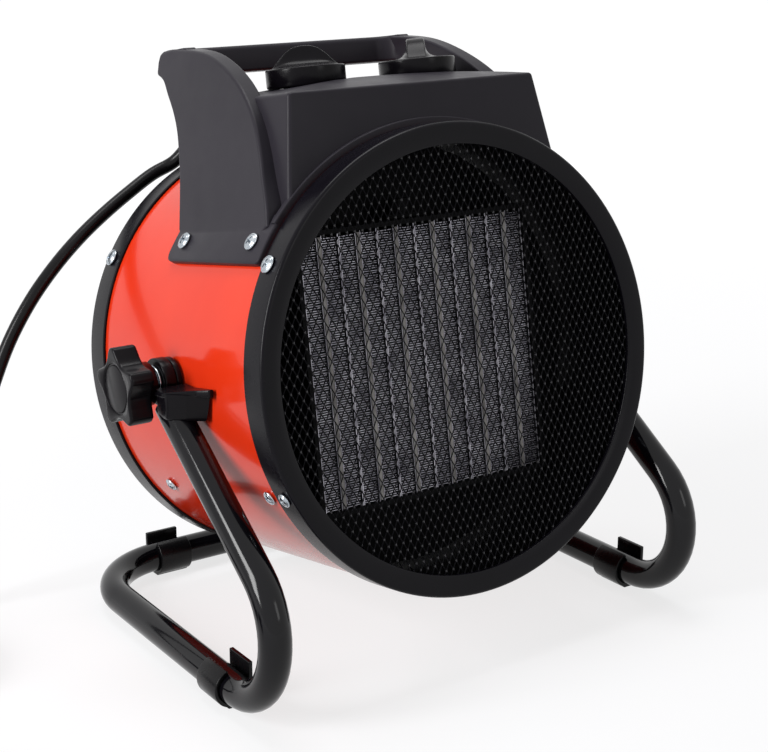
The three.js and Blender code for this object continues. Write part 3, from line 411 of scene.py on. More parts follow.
CORD_R = 3.5
GAP = 0.3   # between pieces that meet face to face
GLAND_AT, BOOT_TIP_Y = (-38, 117), 138
COIL_AT, COIL_OUTER_R, COIL_TURNS, COIL_PITCH, COIL_Z = (-246, 55.4), 51, 4.25, 7.6, 3.9
LEAD_POINTS = [(-39.4, 109.7, 227.2), (-46, 117.2, 217), (-57, 120.2, 211.3), (-71, 119.2, 203.6),
               (-88, 116.7, 193.8), (-104.3, 113.7, 183.1), (-120, 110.7, 170.4), (-134.5, 108.2, 155.5),
               (-147.5, 106.7, 137), (-157.5, 105.7, 117), (-166, 105.3, 95.5), (-174, 105.5, 73),
               (-183, 105.9, 51), (-195, 106.3, 31.7), (-210, 106.4, 18.2), (-226, 106.4, 12.4)]
LOOP_STEPS = 48
PLUG_LENGTH, PLUG_RIM_Y, PLUG_R, PLUG_TAIL_R = 64, 52, 18, 6
PLUG_TIP = math.asin((PLUG_R - PLUG_TAIL_R) / PLUG_RIM_Y)   # it lies on its tail and its rim
PIN_X, PIN_R, PIN_LENGTH = 9.5, 2.4, 19


def in_drum(x, y, z):
    return (DRUM @ Vector((x, y, z))) / MM


def coil_point(t):
    """The coil's centreline after t turns: in until halfway, down a layer, and out again."""
    half = COIL_TURNS / 2
    radius = COIL_OUTER_R - COIL_PITCH * (half - abs(t - half))
    climb = min(max((t - half) / 0.5 + 0.5, 0), 1)
    turn = math.pi / 2 + 2 * math.pi * t
    return Vector((COIL_AT[0] + radius * math.cos(turn), COIL_AT[1] + radius * math.sin(turn),
                   COIL_Z + COIL_PITCH * (1 - climb)))


coil_steps = round(COIL_TURNS * LOOP_STEPS)
coil = [coil_point(COIL_TURNS * i / coil_steps) for i in range(coil_steps + 1)]
coil_end = coil[-1] + Vector((0, -2 * CORD_R, 0))
PLUG_AT = Vector((coil_end.x - 9, coil_end.y - 42, 7))
plug_back = Vector((0, math.cos(PLUG_TIP), -math.sin(PLUG_TIP)))
cord_exit = in_drum(GLAND_AT[0], BOOT_TIP_Y + GAP, GLAND_AT[1])
route = [cord_exit, in_drum(GLAND_AT[0], BOOT_TIP_Y + GAP + 2 * CORD_R, GLAND_AT[1]),
         *[Vector(q) for q in LEAD_POINTS], coil[0] + Vector((2 * CORD_R, 0, 0)), *coil, coil_end,
         Vector((coil_end.x - 3.6, coil_end.y - 20.3, 4)), PLUG_AT + plug_back * (GAP + 2 * CORD_R),
         PLUG_AT + plug_back * GAP]
lead = eased(route, 5)
cord_data = build("mains_lead", swept(lead, CORD_R, 16), FLOOR)
cord = bpy.data.objects.new("mains_lead", cord_data)
scene.collection.objects.link(cord)
cord_data.materials.append(LOOKS["rubber"])
shade(cord_data, 60)
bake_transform(cord)
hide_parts("cord_lead", "cord_coil", "cord_tail")

plug_profile = eased([(6, 0), (6.1, 6), (6.4, 17), (8.6, 19.6), (12.2, 22), (13.4, 28), (14, 36),
                      (14.3, 46), (15.4, 49.6), (17.9, 52.4), (18, 58), (18, 62.6), (17.2, 64)], 4)
plug_profile = [(0, 0), (5.2, 0), *plug_profile, (0, PLUG_LENGTH)]
plug_place = (FLOOR @ Matrix.Translation(PLUG_AT) @ Matrix.Rotation(-PLUG_TIP, 4, "X")
              @ Matrix.Rotation(math.pi, 4, "Z"))
pin_tip = PLUG_LENGTH + PIN_LENGTH
pin = lathe([(0, PLUG_LENGTH - 1), (PIN_R, PLUG_LENGTH - 1), (PIN_R, pin_tip - 2), (PIN_R - 1, pin_tip),
             (0, pin_tip)], 24, wrap=False)
pins = [moved(pin, Matrix.Translation((x, 0, 0))) for x in (-PIN_X, PIN_X)]
plug = piece("plug_body", build("plug_body", lathe(plug_profile, 64, wrap=False), plug_place), "rubber",
             "stand", "mains_plug")
plug_pins = piece("plug_pins", build("plug_pins", joined(*pins), plug_place), "zinc", "stand")

# -------------------- drum

SIDES = 192
DRUM_BACK = Vector((0, math.cos(TILT), -math.sin(TILT)))
RING_EDGE_R, RING_LIP_EDGE_R, RING_LIP_Y = 1.7, 0.9, 3
SHELL_END = 4.8   # from the drum's ends to the sheet's


def front_profile():
    """The front ring's section: band, rounded edge, face that sinks to the turned-in lip."""
    edge = arc((RING_R - RING_EDGE_R, RING_EDGE_R), RING_EDGE_R, 0, -90, 8)
    lip = arc((RING_LIP_R + RING_LIP_EDGE_R, 1.9), RING_LIP_EDGE_R, -90, -180, 4)
    face = [(106.5, 0.0), (103.5, 0.25), (101.2, 0.7)]
    return [(RING_R - 0.5, RING_BAND), (RING_R, RING_BAND - 0.5), *edge, *face, *lip,
            (RING_LIP_R, RING_LIP_Y), (SHELL_R + GAP, RING_LIP_Y), (SHELL_R + GAP, RING_BAND)]


front = front_profile()
rear = [(radius, DRUM_LENGTH - y) for radius, y in front]
for word, profile in (("front", front), ("rear", rear)):
    piece(f"{word}_ring_rim", build(f"{word}_ring_rim", lathe(profile, SIDES), DRUM), "ring_paint", "heater",
          f"{word}_ring", angle=30)
inner, sheet_end = SHELL_R - SHELL_WALL, DRUM_LENGTH - SHELL_END
shell = [(inner, SHELL_END), (SHELL_R, SHELL_END), (SHELL_R, sheet_end), (inner, sheet_end)]
data = build("shell_skin", lathe(shell, SIDES), DRUM)
piece("shell_skin", data, "red_paint", "heater", "drum_shell")
# The red paint goes on the outside faces only; the inside faces take the near-black dark_sheet look, painted
# shade inside the drum.
data.materials.append(LOOKS["dark_sheet"])
for face in data.polygons:
    centre = DRUM.inverted() @ face.center
    if math.hypot(centre.x, centre.z) < SHELL_R - 0.2 and abs(face.normal.dot(DRUM_BACK)) < 0.5:
        face.material_index = 1


MESH_REACH, MESH_PITCH_X, MESH_PITCH_Z, STRAND = 103.5, 4.07, 7.36, 0.5
MESH_LEAN = 0.6   # radians that the strands' faces are turned from the front
MESH_RIM, MESH_SIDES = (101.5, 107.9), 128
KNUCKLE_HALF, KNUCKLE_WIDTH, KNUCKLE_DEPTH = 0.55, 0.9, 0.62


def expanded(y, lean):
    """Expanded metal: leaning strands between staggered knots, and a flat knuckle on each knot."""
    flat = Vector((math.sin(lean), -math.cos(lean), 0))
    tall = Vector((0, 0, KNUCKLE_HALF))
    points, faces, knuckles = [], [], []

    def bar(a, b, half_wide, half_deep):
        ahead = (b - a).normalized()
        wide = ahead.cross(flat).normalized()
        deep = ahead.cross(wide)
        start = len(points)
        for end in (a, b):
            for u, v in ((-1, -1), (1, -1), (1, 1), (-1, 1)):
                points.append(end + wide * (u * half_wide) + deep * (v * half_deep))
        for k in range(4):
            m = (k + 1) % 4
            faces.append((start + k, start + m, start + 4 + m, start + 4 + k))
        faces.append((start + 3, start + 2, start + 1, start))
        faces.append((start + 4, start + 5, start + 6, start + 7))

    rows = int(MESH_REACH / (MESH_PITCH_Z / 2)) + 1
    columns = int(MESH_REACH / MESH_PITCH_X) + 2
    for row in range(-rows, rows + 1):
        shift = MESH_PITCH_X / 2 if row % 2 else 0
        for column in range(-columns, columns + 1):
            knot = Vector((column * MESH_PITCH_X + shift, y, row * MESH_PITCH_Z / 2))
            if math.hypot(knot.x, knot.z) > MESH_REACH:
                continue
            knuckles += range(len(faces), len(faces) + 6)
            bar(knot - tall, knot + tall, STRAND * KNUCKLE_WIDTH, STRAND * KNUCKLE_DEPTH)
            for side in (-1, 1):
                other = knot + Vector((side * MESH_PITCH_X / 2, 0, MESH_PITCH_Z / 2))
                if math.hypot(other.x, other.z) <= MESH_REACH:
                    bar(knot, other, STRAND / 2, STRAND / 2)
    return (points, faces), knuckles


for name, y, lean in (("front", GRILLE_Y + 0.5, -MESH_LEAN),
                      ("rear", DRUM_LENGTH - GRILLE_Y - 0.5, MESH_LEAN)):
    mesh_shape, knuckles = expanded(y, lean)
    (low, high), back, ahead = MESH_RIM, y + 0.5, y - 0.5
    rim = lathe([(low, ahead), (high, ahead), (high, back), (low, back)], MESH_SIDES)
    data = build(f"{name}_mesh", joined(mesh_shape, rim), DRUM, merge=1e-7)
    piece(f"{name}_mesh", data, MESH_LOOK, "heater", f"{name}_grille", slot="dark_sheet", angle=20)
    # The knuckle faces take the painted glint look, a painted highlight on each knot.
    data.materials.append(PAINTED_GLINT_LOOK)
    for index in knuckles:
        data.polygons[index].material_index = 1

# -------------------- heating element

ELEMENT_HALF, ELEMENT_Y, ROW_COUNT = 64, (34, 58), 6
ROW_WIDTH = 2 * ELEMENT_HALF / ROW_COUNT
ROW_END = 0.6   # the strips and fins stop short of the plates
FIN_PITCH, FIN_HALF_WALL, STRIP_HALF = 2.2, 0.13, 0.8


def folded(x0, x1):
    """A band of folded fins: a wave between x0 and x1 that climbs the row."""
    (y0, y1), wall = (ELEMENT_Y[0] + 1, ELEMENT_Y[1] - 1), FIN_HALF_WALL
    z0, z1 = -ELEMENT_HALF + ROW_END, ELEMENT_HALF - ROW_END
    folds = int((z1 - z0) / FIN_PITCH)
    step = (z1 - z0) / folds
    line = []
    for i in range(folds):
        z = z0 + i * step
        line += [(x0, z), (x1, z + step * 0.12), (x1, z + step * 0.5), (x0, z + step * 0.62)]
    line.append((x0, z1))
    rings = [[(x, y0, z - wall), (x, y1, z - wall), (x, y1, z + wall), (x, y0, z + wall)] for x, z in line]
    return loft(rings)


for row in range(ROW_COUNT):
    x = (row - (ROW_COUNT - 1) / 2) * ROW_WIDTH
    half = ROW_WIDTH / 2 - 0.15
    node = f"ptc_row_{row + 1}"
    bands = [folded(x + side * 1.6, x + side * (half - 0.7)) for side in (-1, 1)]
    plates = [box(sorted((x + side * a, x + side * b)), ELEMENT_Y, (-ELEMENT_HALF, ELEMENT_HALF))
              for side in (-1, 1) for a, b in ((1.25, 1.5), (half - 0.4, half))]
    data = build(f"fin_bands_{row + 1}", joined(*bands, *plates), DRUM, 1e-7)
    piece(f"fin_bands_{row + 1}", data, "fins", "heater", node, angle=20)
    # Only the fins' front and rear edges keep the bright look; the other faces take a darker look, painted
    # shade deep in the folds.
    data.materials.append(PAINTED_SHADE_LOOK)
    for face in data.polygons:
        if abs(face.normal.dot(DRUM_BACK)) < 0.7:
            face.material_index = 1
    strip = box((x - STRIP_HALF, x + STRIP_HALF), (ELEMENT_Y[0] - 0.4, ELEMENT_Y[1]),
                (ROW_END - ELEMENT_HALF, ELEMENT_HALF - ROW_END))
    piece(f"ceramic_strip_{row + 1}", build(f"ceramic_strip_{row + 1}", strip, DRUM), STRIP_LOOK,
          "heater", slot="fins")

# -------------------- control housing

CHEEK_LEAN, CREASE, CHEEK_WALL = 0.235, (87.3, 70.2), 9   # x per z, the cheek's foot (x, z), thickness
FLANGE_R, FLANGE_SEAT_R, FLANGE_ANGLES, FLANGE_Y, FLANGE_THICK = 112, 109, (30.6, 43.2), (17, 104), 3
LIP_R, LIP_Y, LIP_ANGLES = (108, 112.8), (17, 20.5), (40.8, 139.2)
BOX_TOP_Z, BOX_TOP_R, BOX_HALF_TOP, BOX_SIDE_SLOPE, BOX_REAR_Y = 134.4, 430, 69, 0.165, 100
BOX_FRONT_Y = (18, 22)
BAR_Y, BAR_Z = (127, 144.4), (143.5, 156.6)
DIAL_AT, DIAL_R, DIAL_WELL_Z = (32.2, 65), 18.9, 131.5
CHEEK_FRONT = [(21.5, 72), (24, 81), (29, 92), (34.5, 105), (42, 118), (51, 128), (61.5, 136.4), (77, 145),
               (95, 151.8), (117, 155.6), (138, 156.8)]
CHEEK_BACK = [(140.2, 143.9), (136.6, 141.6), (131, 135), (123.5, 126.5), (117.6, 117.5), (113, 106),
              (109.5, 94), (105, 70.2)]


def cheek():
    """The right-hand cheek: a leaning plate from the flange up to the handle bar."""
    corner = rounded([(144.6, 152, 0), (144.6, 145.6, 2.4), (140.2, 143.9, 0)], 5)[1:-1]
    outline = [*eased([*CHEEK_FRONT, (143, 155.4), (144.6, 151.8)], 6), *corner, *eased(CHEEK_BACK, 6),
               (95, 66), (30, 66)]
    points, faces = soft_prism(outline, -CHEEK_WALL, 0, 1.3)
    foot = CREASE[0] + CHEEK_LEAN * CREASE[1]
    return [(x - CHEEK_LEAN * z + foot, y, z) for x, y, z in points], faces


def flange():
    """The strip screwed to the drum: sections from its rounded lower edge up to the cheek."""
    low, high = (FLANGE_R * math.radians(angle) for angle in FLANGE_ANGLES)
    (front, back), rings = FLANGE_Y, []
    for d in (0, 0.05, 0.15, 0.3, 0.6, 0.9, 1.4, 2, 3, 4, 6.5, 9, 11.5, 14, 16.5, 19, 21.5, high - low):
        def drop(radius):
            return radius - math.sqrt(max(radius ** 2 - (radius - min(d, radius)) ** 2, 0))
        y0, y1, top = front + drop(2.5), back - drop(4), FLANGE_THICK - drop(0.9)
        c, s = math.cos((low + d) / FLANGE_R), math.sin((low + d) / FLANGE_R)
        edge = rounded([(y0, -1, 0), (y1, -1, 0), (y1, top, 0.9), (y0, top, 0.9)], 4)
        rings.append([((FLANGE_SEAT_R + h) * c, y, (FLANGE_SEAT_R + h) * s) for y, h in edge])
    return loft(rings)


def panel_lip():
    """The narrow lip along the foot of the panel, from flange to flange, just behind the front ring."""
    (low, high), (front, back), (start, end) = LIP_R, LIP_Y, LIP_ANGLES
    outline = rounded([(low, front, 0), (high, front, 0.6), (high, back, 0.4), (low, back, 0)], 4)
    turns = [math.radians(start + (end - start) * k / 60) for k in range(61)]
    return loft([[(r * math.cos(a), y, r * math.sin(a)) for r, y in outline] for a in turns])


def crown(x):
    """The panel's height, which falls off to both sides."""
    return BOX_TOP_Z - BOX_TOP_R + math.sqrt(BOX_TOP_R ** 2 - x * x)


def panel_box():
    """The box under the dials: leaning front and sides, crowned top with a rounded rim."""
    soft, middle_y = 1.3, 61

    def plan(z, shrink):
        half = BOX_HALF_TOP + BOX_SIDE_SLOPE * (BOX_TOP_Z - 5.5 - z)
        y = BOX_FRONT_Y[0] + (BOX_FRONT_Y[1] - BOX_FRONT_Y[0]) * (z - 87) / (BOX_TOP_Z - 87)
        outline = rounded([(-half, BOX_REAR_Y, 3), (-half, y, 1.9), (half, y, 1.9), (half, BOX_REAR_Y, 3)])
        return inset(outline, shrink) if shrink else outline

    def ring(level, shrink):
        """The box's outline where its height is level(x), each point from the plan at its own height."""
        plans, made = {}, []
        for k, (near, _) in enumerate(plan(130, shrink)):
            z = level(near)
            if round(z, 2) not in plans:
                plans[round(z, 2)] = plan(z, shrink)
            u, v = plans[round(z, 2)][k]
            made.append((u, v, level(u)))
        return made

    rings = [ring(lambda u, z=z: z, 0) for z in (62, 90, 110, 125)]
    rings.append(ring(lambda u: crown(u) - soft - LAND, 0))
    rings += [ring(lambda u, a=a: crown(u) - soft * (1 - math.sin(a)), soft * (1 - math.cos(a)) or 1e-4)
              for a in quarter(5)]
    top = ring(crown, soft + LAND)
    for share in (1, 0.9, 0.8, 0.7, 0.6, 0.5, 0.4, 0.3, 0.2, 0.1, 0.001):
        rings.append([(u * share, middle_y + (v - middle_y) * share, crown(u * share)) for u, v, _ in top])
    return loft(rings)


def handle_bar():
    """A bar of one section that widens forwards into a round inner corner at both cheeks."""
    bend, inner_x, end_x = 10, 60.5, 66
    (low_y, high_y), (low, high), rings = BAR_Y, BAR_Z, []
    outs = [bend * math.sin(math.radians(k * 7.5)) for k in range(13)]
    xs = [(-inner_x + bend - o, o) for o in reversed(outs)] + [(inner_x - bend + o, o) for o in outs]
    for x, out in [(-end_x, bend), *xs, (end_x, bend)]:
        front = low_y - (bend - math.sqrt(max(bend * bend - out * out, 0)))
        corners = [(front, low, 1.5), (high_y, low, 3), (high_y, high, 4), (front, high, 2.5)]
        rings.append(section(rounded(corners), x, "x"))
    return loft(rings)


def rod(radius, along, sides, axis):
    low, high = along
    return lathe([(0, low), (radius, low), (radius, high), (0, high)], sides, axis, wrap=False)


def control_housing():
    """One moulding, hollowed to the drum and sunk round each dial."""
    solids = [panel_box(), cheek(), mirror(cheek()), flange(), mirror(flange()), panel_lip(), handle_bar()]
    drum_side = rod(FLANGE_SEAT_R, (-20, 200), SIDES, "y")
    well = rod(DIAL_R + 1.6, (DIAL_WELL_Z, 150), 96, "z")
    wells = [moved(well, Matrix.Translation((side * DIAL_AT[0], DIAL_AT[1], 0))) for side in (-1, 1)]
    made = carved(solids, [drum_side, *wells])
    made.transform(DRUM)
    return made


piece("housing_moulding", control_housing(), "housing_plastic", "heater", "control_housing", angle=28)

# -------------------- panel knobs

DIAL_Z, DIAL_PEAK_Z = (132.2, 141), 151
SELECTOR_TURN, THERMOSTAT_TURN = math.radians(55.8), math.radians(-34.2)

# The finger bar's height, as a share of its peak, by the distance along it and across it from its middle.
CREST = [(0, 1), (3.5, 0.97), (6.5, 0.86), (9.2, 0.67), (11.5, 0.45), (13.5, 0.23), (15, 0.08), (16.2, 0.01),
         (18.3, 0)]
FLANK = [(0, 1), (3.6, 0.995), (4.15, 0.975), (4.4, 0.9), (4.55, 0.77), (4.75, 0.6), (5.15, 0.43),
         (5.9, 0.29), (7.2, 0.155), (9.3, 0.06), (12.2, 0.014), (18.3, 0)]
# Where the knob's top has a line of points, closest where the flanks fall.
LINES = [0, 2, 3.4, 3.7, 3.95, 4.15, 4.28, 4.4, 4.48, 4.55, 4.65, 4.75, 4.95, 5.15, 5.5, 5.9, 6.5, 7.2, 8.2,
         9.3, 10.7, 12.2, 14, 15.7, 17, 17.8]


def panel_knob():
    """A round skirt whose top rises into a finger bar with hollow flanks."""
    (low, high), soft = DIAL_Z, 0.7
    rim = DIAL_R - soft
    along, across = np.array(eased(CREST, 8)), np.array(eased(FLANK, 8))
    lines = sorted({round(side * v, 3) for side in (-1, 1) for v in (*LINES, rim)})
    shares = [math.sin(math.pi / 2 * (k / 30 - 1)) for k in range(61)]
    grid = []
    for v in lines:
        reach = math.sqrt(max(rim * rim - v * v, 0))
        row = []
        for share in shares:
            u = share * reach
            rise = np.interp(abs(u), *along.T) * np.interp(abs(v), *across.T)
            row.append((u, v, high + (DIAL_PEAK_Z - high) * rise))
        grid.append(row)
    points = [q for row in grid for q in row]
    wide = len(shares)
    faces = [(i * wide + k, i * wide + k + 1, (i + 1) * wide + k + 1, (i + 1) * wide + k)
             for i in range(len(lines) - 1) for k in range(wide - 1)]
    border = [row[-1] for row in grid] + [row[0] for row in reversed(grid[1:-1])]
    corners = [math.atan2(v, u) for u, v, _ in border]
    profile = [(rim + soft * math.sin(a), high - soft * (1 - math.cos(a))) for a in quarter(4)[1:]]
    profile += [(DIAL_R, high - 1.0), (DIAL_R, low + 0.8), (DIAL_R - 0.3, low + 0.2), (DIAL_R - 0.6, low)]
    rings = [border] + [[(radius * math.cos(c), radius * math.sin(c), z) for c in corners]
                        for radius, z in profile]
    skirt = loft(rings, caps=False)
    under = list(range(len(points) + (len(rings) - 1) * len(border), len(points) + len(rings) * len(border)))
    made = joined((points, faces), skirt)
    return made[0], made[1] + [tuple(under)]


for name, side, turn, body in (("thermostat", -1, THERMOSTAT_TURN, "thermostat_dial"),
                               ("power", 1, SELECTOR_TURN, "power_dial")):
    place = DRUM @ Matrix.Translation((side * DIAL_AT[0], DIAL_AT[1], 0)) @ Matrix.Rotation(turn, 4, "Z")
    piece(f"{name}_dial", build(f"{name}_dial", panel_knob(), place), "knob_plastic", body, f"{name}_knob",
          angle=50)

# -------------------- screws

SMALL_HEAD, LARGE_HEAD = 3.5, 4.3


def screw_head(radius):
    """A pan head with a cross recess and the top of its shank, along z, seated at GAP."""
    k = radius / SMALL_HEAD
    dome = eased([(3.42 * k, 0.5), (3.5 * k, 0.9), (3.3 * k, 1.35), (2.95 * k, 1.6), (2.7 * k, 1.55),
                  (2.5 * k, 1.75), (1.6 * k, 2.15), (0.6 * k, 2.29)], 4)
    head = lathe([(0, -2), (1.6, -2), (1.6, GAP), (3.3 * k, GAP), *dome, (0, 2.3)], 48, "z", wrap=False)
    cross = [(-0.5, -2.1), (0.5, -2.1), (0.5, -0.5), (2.1, -0.5), (2.1, 0.5), (0.5, 0.5), (0.5, 2.1),
             (-0.5, 2.1), (-0.5, 0.5), (-2.1, 0.5), (-2.1, -0.5), (-0.5, -0.5)]
    low = [(u * 0.55 * k, v * 0.55 * k, 0.55) for u, v in cross]
    high = [(u * k, v * k, 2.8) for u, v in cross]
    return carved([head], [loft([low, high])])


# Seat radius, angle above the drum's side, y and head radius.
SCREWS = {"ring_screw_upper": (RING_R, 30.9, 10, LARGE_HEAD),
          "ring_screw_lower": (RING_R, -24.5, 6.6, SMALL_HEAD),
          "flange_screw_front": (FLANGE_R, 35.9, 28.7, LARGE_HEAD),
          "flange_screw_rear": (FLANGE_R, 35.9, 92.2, LARGE_HEAD),
          "shell_screw_front": (SHELL_R, -25.9, 24.1, SMALL_HEAD),
          "shell_screw_rear": (SHELL_R, -31, 130.7, SMALL_HEAD),
          "rear_band_screw": (RING_R, 31.2, 167.5, LARGE_HEAD)}
heads = {radius: screw_head(radius) for radius in (SMALL_HEAD, LARGE_HEAD)}
for index, (name, (seat, angle, y, size)) in enumerate(SCREWS.items()):
    for side, word in ((-1, "left"), (1, "right")):
        around = math.radians(angle if side > 0 else 180 - angle)
        spin = 0.7 * index + 0.4 * side   # so that no two recesses line up
        place = (DRUM @ Matrix.Translation((seat * math.cos(around), y, seat * math.sin(around)))
                 @ Matrix.Rotation(math.pi / 2 - around, 4, "Y") @ Matrix.Rotation(spin, 4, "Z"))
        data = heads[size].copy()
        data.transform(place)
        nodes = [] if name == "rear_band_screw" else [f"{name}_{word}"]
        piece(f"{name}_head_{word}", data, "zinc", "heater", *nodes, angle=30)

# -------------------- side clamps

KNOB_X = (121.3, 127, 138.9)   # hub's inner face, lobes' inner face, outer face
KNOB_PHASE, KNOB_SIDES = math.radians(89.7), 240
BORE_R = 4.2
LOBE = [(0, 19.2), (7, 18.8), (13, 17), (20, 15.2), (28, 14.1), (36, 13.7)]   # degrees from the tip, radius
LOBE_CURVE = np.array(eased([(-LOBE[1][0], LOBE[1][1]), *LOBE, (44, 14.1)], 8))


def lobe_radius(turn):
    """The knob's radius at an angle: five round tips with nearly straight sides."""
    off = abs((math.degrees(turn) + 36) % 72 - 36)
    return float(np.interp(off, *LOBE_CURVE.T))


def lobed(shrink, x):
    """The lobed outline at x, drawn in by shrink."""
    outline = []
    for i in range(KNOB_SIDES):
        turn = 2 * math.pi * i / KNOB_SIDES
        radius = lobe_radius(turn)
        outline.append((radius * math.cos(turn + KNOB_PHASE), radius * math.sin(turn + KNOB_PHASE)))
    return section(inset(outline, shrink) if shrink > 1e-6 else outline, x, "x")


def round_ring(radius, x):
    return section(circle(radius, KNOB_SIDES, KNOB_PHASE), x, "x")


def clamp_knob():
    """A round hub, five lobes with soft edges, and a face with a groove round its disc."""
    (inner_x, shoulder, face), soft = KNOB_X, 1.1
    rings = [round_ring(radius, x) for radius, x in (
        (3.9, inner_x), (9.6, inner_x), (10.3, inner_x + 0.8), (10.3, shoulder - 0.6), (10.8, shoulder))]
    rings += [lobed(soft * (1 - math.sin(a)), shoulder + soft * (1 - math.cos(a))) for a in quarter(6)]
    rings += [lobed(0, shoulder + soft + LAND), lobed(0, face - soft - LAND)]
    rings += [lobed(soft * (1 - math.cos(a)), face - soft + soft * math.sin(a)) for a in quarter(6)]
    rings += [round_ring(radius, face - sunk) for radius, sunk in (
        (12.3, 0), (12.1, 0.2), (11.8, 0.9), (11.2, 1.0), (10.9, 0.5), (10.6, 0.35), (0.001, 0.35))]
    return loft(rings, caps=False)


def bored_disc(x0, x1, radius, soft):
    """A disc on the stud, with rounded outer edges."""
    outline = [(BORE_R, x0), (radius - soft, x0), *arc((radius - soft, x0 + soft), soft, -90, 0, 4),
               *arc((radius - soft, x1 - soft), soft, 0, 90, 4), (BORE_R, x1)]
    return lathe(outline, 96, "x")


def both(name, shape, look, body, node, angle=40):
    """The piece on the right-hand clamp and its mirror image on the left."""
    for made, word in ((mirror(shape), "left"), (shape, "right")):
        piece(f"{name}_{word}", build(f"{name}_{word}", made, CLAMPS), look, body.format(word),
              f"{node}_{word}", angle=angle)


both("lobed_knob", clamp_knob(), "knob_plastic", "clamp_{}", "clamp_knob", 50)
both("zinc_washer", joined(bored_disc(118.8, 119.9, 8.2, 0.3), bored_disc(120.0, 120.9, 6.6, 0.25)), "zinc",
     "washer_{}", "clamp_washer")
both("spacer_disc", bored_disc(109.3, 112.3, 10.8, 0.7), "knob_plastic", "heater", "pivot_spacer")

# -------------------- stand

TUBE_R, TUBE_Z, LEG_DROP, LEG_SLOPE = 7.5, 10, 0.7, math.radians(34.6)
LEG_TOP_X, LEG_NOSE_X, REAR_CORNER_X, REAR_BAR_Y = 116.5, 121.2, 118.4, 90.2
FRONT_BEND_R, REAR_BEND_R, LEG_TOP_GAP = 34.1, 41.5, 14
EYE_X, EYE_R, EYE_INSIDE_X = (112.6, 118.4), 11.2, 109.9


def leg_corners(side):
    """Where a leg starts under its eye, and its corners at the nose and the rear."""
    run = (PIVOT.z - LEG_DROP - TUBE_Z) / math.tan(LEG_SLOPE)
    top = Vector((side * LEG_TOP_X, PIVOT.y, PIVOT.z - LEG_DROP))
    nose = Vector((side * LEG_NOSE_X, PIVOT.y - run, TUBE_Z))
    start = top + (nose - top).normalized() * LEG_TOP_GAP
    return [start, nose, Vector((side * REAR_CORNER_X, REAR_BAR_Y, TUBE_Z))]


def bent(corners, radii):
    """A path of straight runs whose inner corners are arcs of the radii."""
    steps = 18
    path = [corners[0]]
    for i, radius in enumerate(radii, 1):
        back = (corners[i - 1] - corners[i]).normalized()
        ahead = (corners[i + 1] - corners[i]).normalized()
        half = back.angle(ahead) / 2
        run = radius / math.tan(half)
        centre = corners[i] + (back + ahead).normalized() * (radius / math.sin(half))
        u, w = corners[i] + back * run - centre, corners[i] + ahead * run - centre
        v = u.cross(w).normalized().cross(u)
        sweep = u.angle(w)
        path += [centre + u * math.cos(sweep * k / steps) + v * math.sin(sweep * k / steps)
                 for k in range(steps + 1)]
    return path + [corners[-1]]


stand_path = bent([*leg_corners(-1), *reversed(leg_corners(1))],
                  [FRONT_BEND_R, REAR_BEND_R, REAR_BEND_R, FRONT_BEND_R])
piece("stand_bar", build("stand_bar", swept(stand_path, TUBE_R, 48), FLOOR), "tube_paint", "stand",
      "stand_tube", angle=60)

# Outlines in x and y from the pivot, with corner radii.
SOCKET_PLAN = [(109.9, -14.5, 0), (126, -14.5, 1.5), (126, -24.6, 4), (119, -31, 6), (109.9, -36.9, 0)]
LEDGE_PLAN = [(109.9, -14.5, 0), (126.6, -14.5, 1), (126.6, -23, 4), (115.5, -33.6, 5), (112.2, -40.3, 1.5),
              (109.9, -40.3, 0)]


def stand_eye():
    """Round eye, a short arm, and the ledge over the block that holds the leg's end."""
    start, nose = leg_corners(1)[:2]
    down = (nose - start).normalized()
    pivot = Matrix.Translation((0, PIVOT.y, PIVOT.z))
    (inner, outer), soft = EYE_X, 0.7
    near = [(EYE_R - soft * (1 - math.sin(a)), inner + soft * (1 - math.cos(a))) for a in quarter(4)]
    far = [(EYE_R - soft * (1 - math.cos(a)), outer - soft * (1 - math.sin(a))) for a in quarter(4)]
    eye = lathe([(0, inner), *near, *far, (0, outer)], 96, "x", wrap=False)
    arm = soft_prism([(-2, -12), (-2, -3.4), (-20, 0.2), (-24, -11), (-14, -18)], inner, outer, 0.5)
    # The block is drawn in and back towards its foot, and the ledge rises and thickens towards its tip.
    levels = ((5.2, -11.6), (4.2, -11.3), (3.5, -10.6), (3, -9.5), (2.2, -7), (1.2, -4), (0, 1.6))
    block = loft([[(u - 0.12 * d, v + 0.35 * d, z) for u, v in inset(rounded(SOCKET_PLAN), 0.25 * d + 0.001)]
                  for d, z in levels])
    skins = ((0.35, -0.9, 2.3), (0.001, -0.6, 2.6), (0.001, 0.5, 4.3), (0.35, 0.8, 4.6))
    plate = loft([[(u, v, z + tip * (-17 - v) / 24) for u, v in inset(rounded(LEDGE_PLAN), d)]
                  for d, z, tip in skins])
    bolt = rod(4.4, (80, 160), 48, "x")
    tube = swept([start - down * GAP, start + down * 60], TUBE_R + 0.4, 48)
    solids = [moved(part, pivot) for part in (eye, arm, block, plate)]
    return carved(solids, [moved(bolt, pivot), tube, box((90, EYE_INSIDE_X), (-80, 60), (60, 180))])


eye_data = stand_eye()
for side, word in ((-1, "left"), (1, "right")):
    data = eye_data.copy()
    data.transform(FLOOR if side > 0 else FLOOR @ Matrix.Scale(-1, 4, (1, 0, 0)))
    if side < 0:
        data.flip_normals()
    piece(f"eye_socket_{word}", data, "knob_plastic", "stand", f"stand_eye_{word}", angle=35)

# -------------------- feet

FOOT_LENGTH, FOOT_WALL, FOOT_TAB_Z = 18, 2, 10.6
FOOT_WRAP, FOOT_SOLE = 252, 248   # degrees: the sleeve's way round, and where its outside meets the sole
FRONT_FOOT_Y, REAR_FOOT_X = -57, 70.8


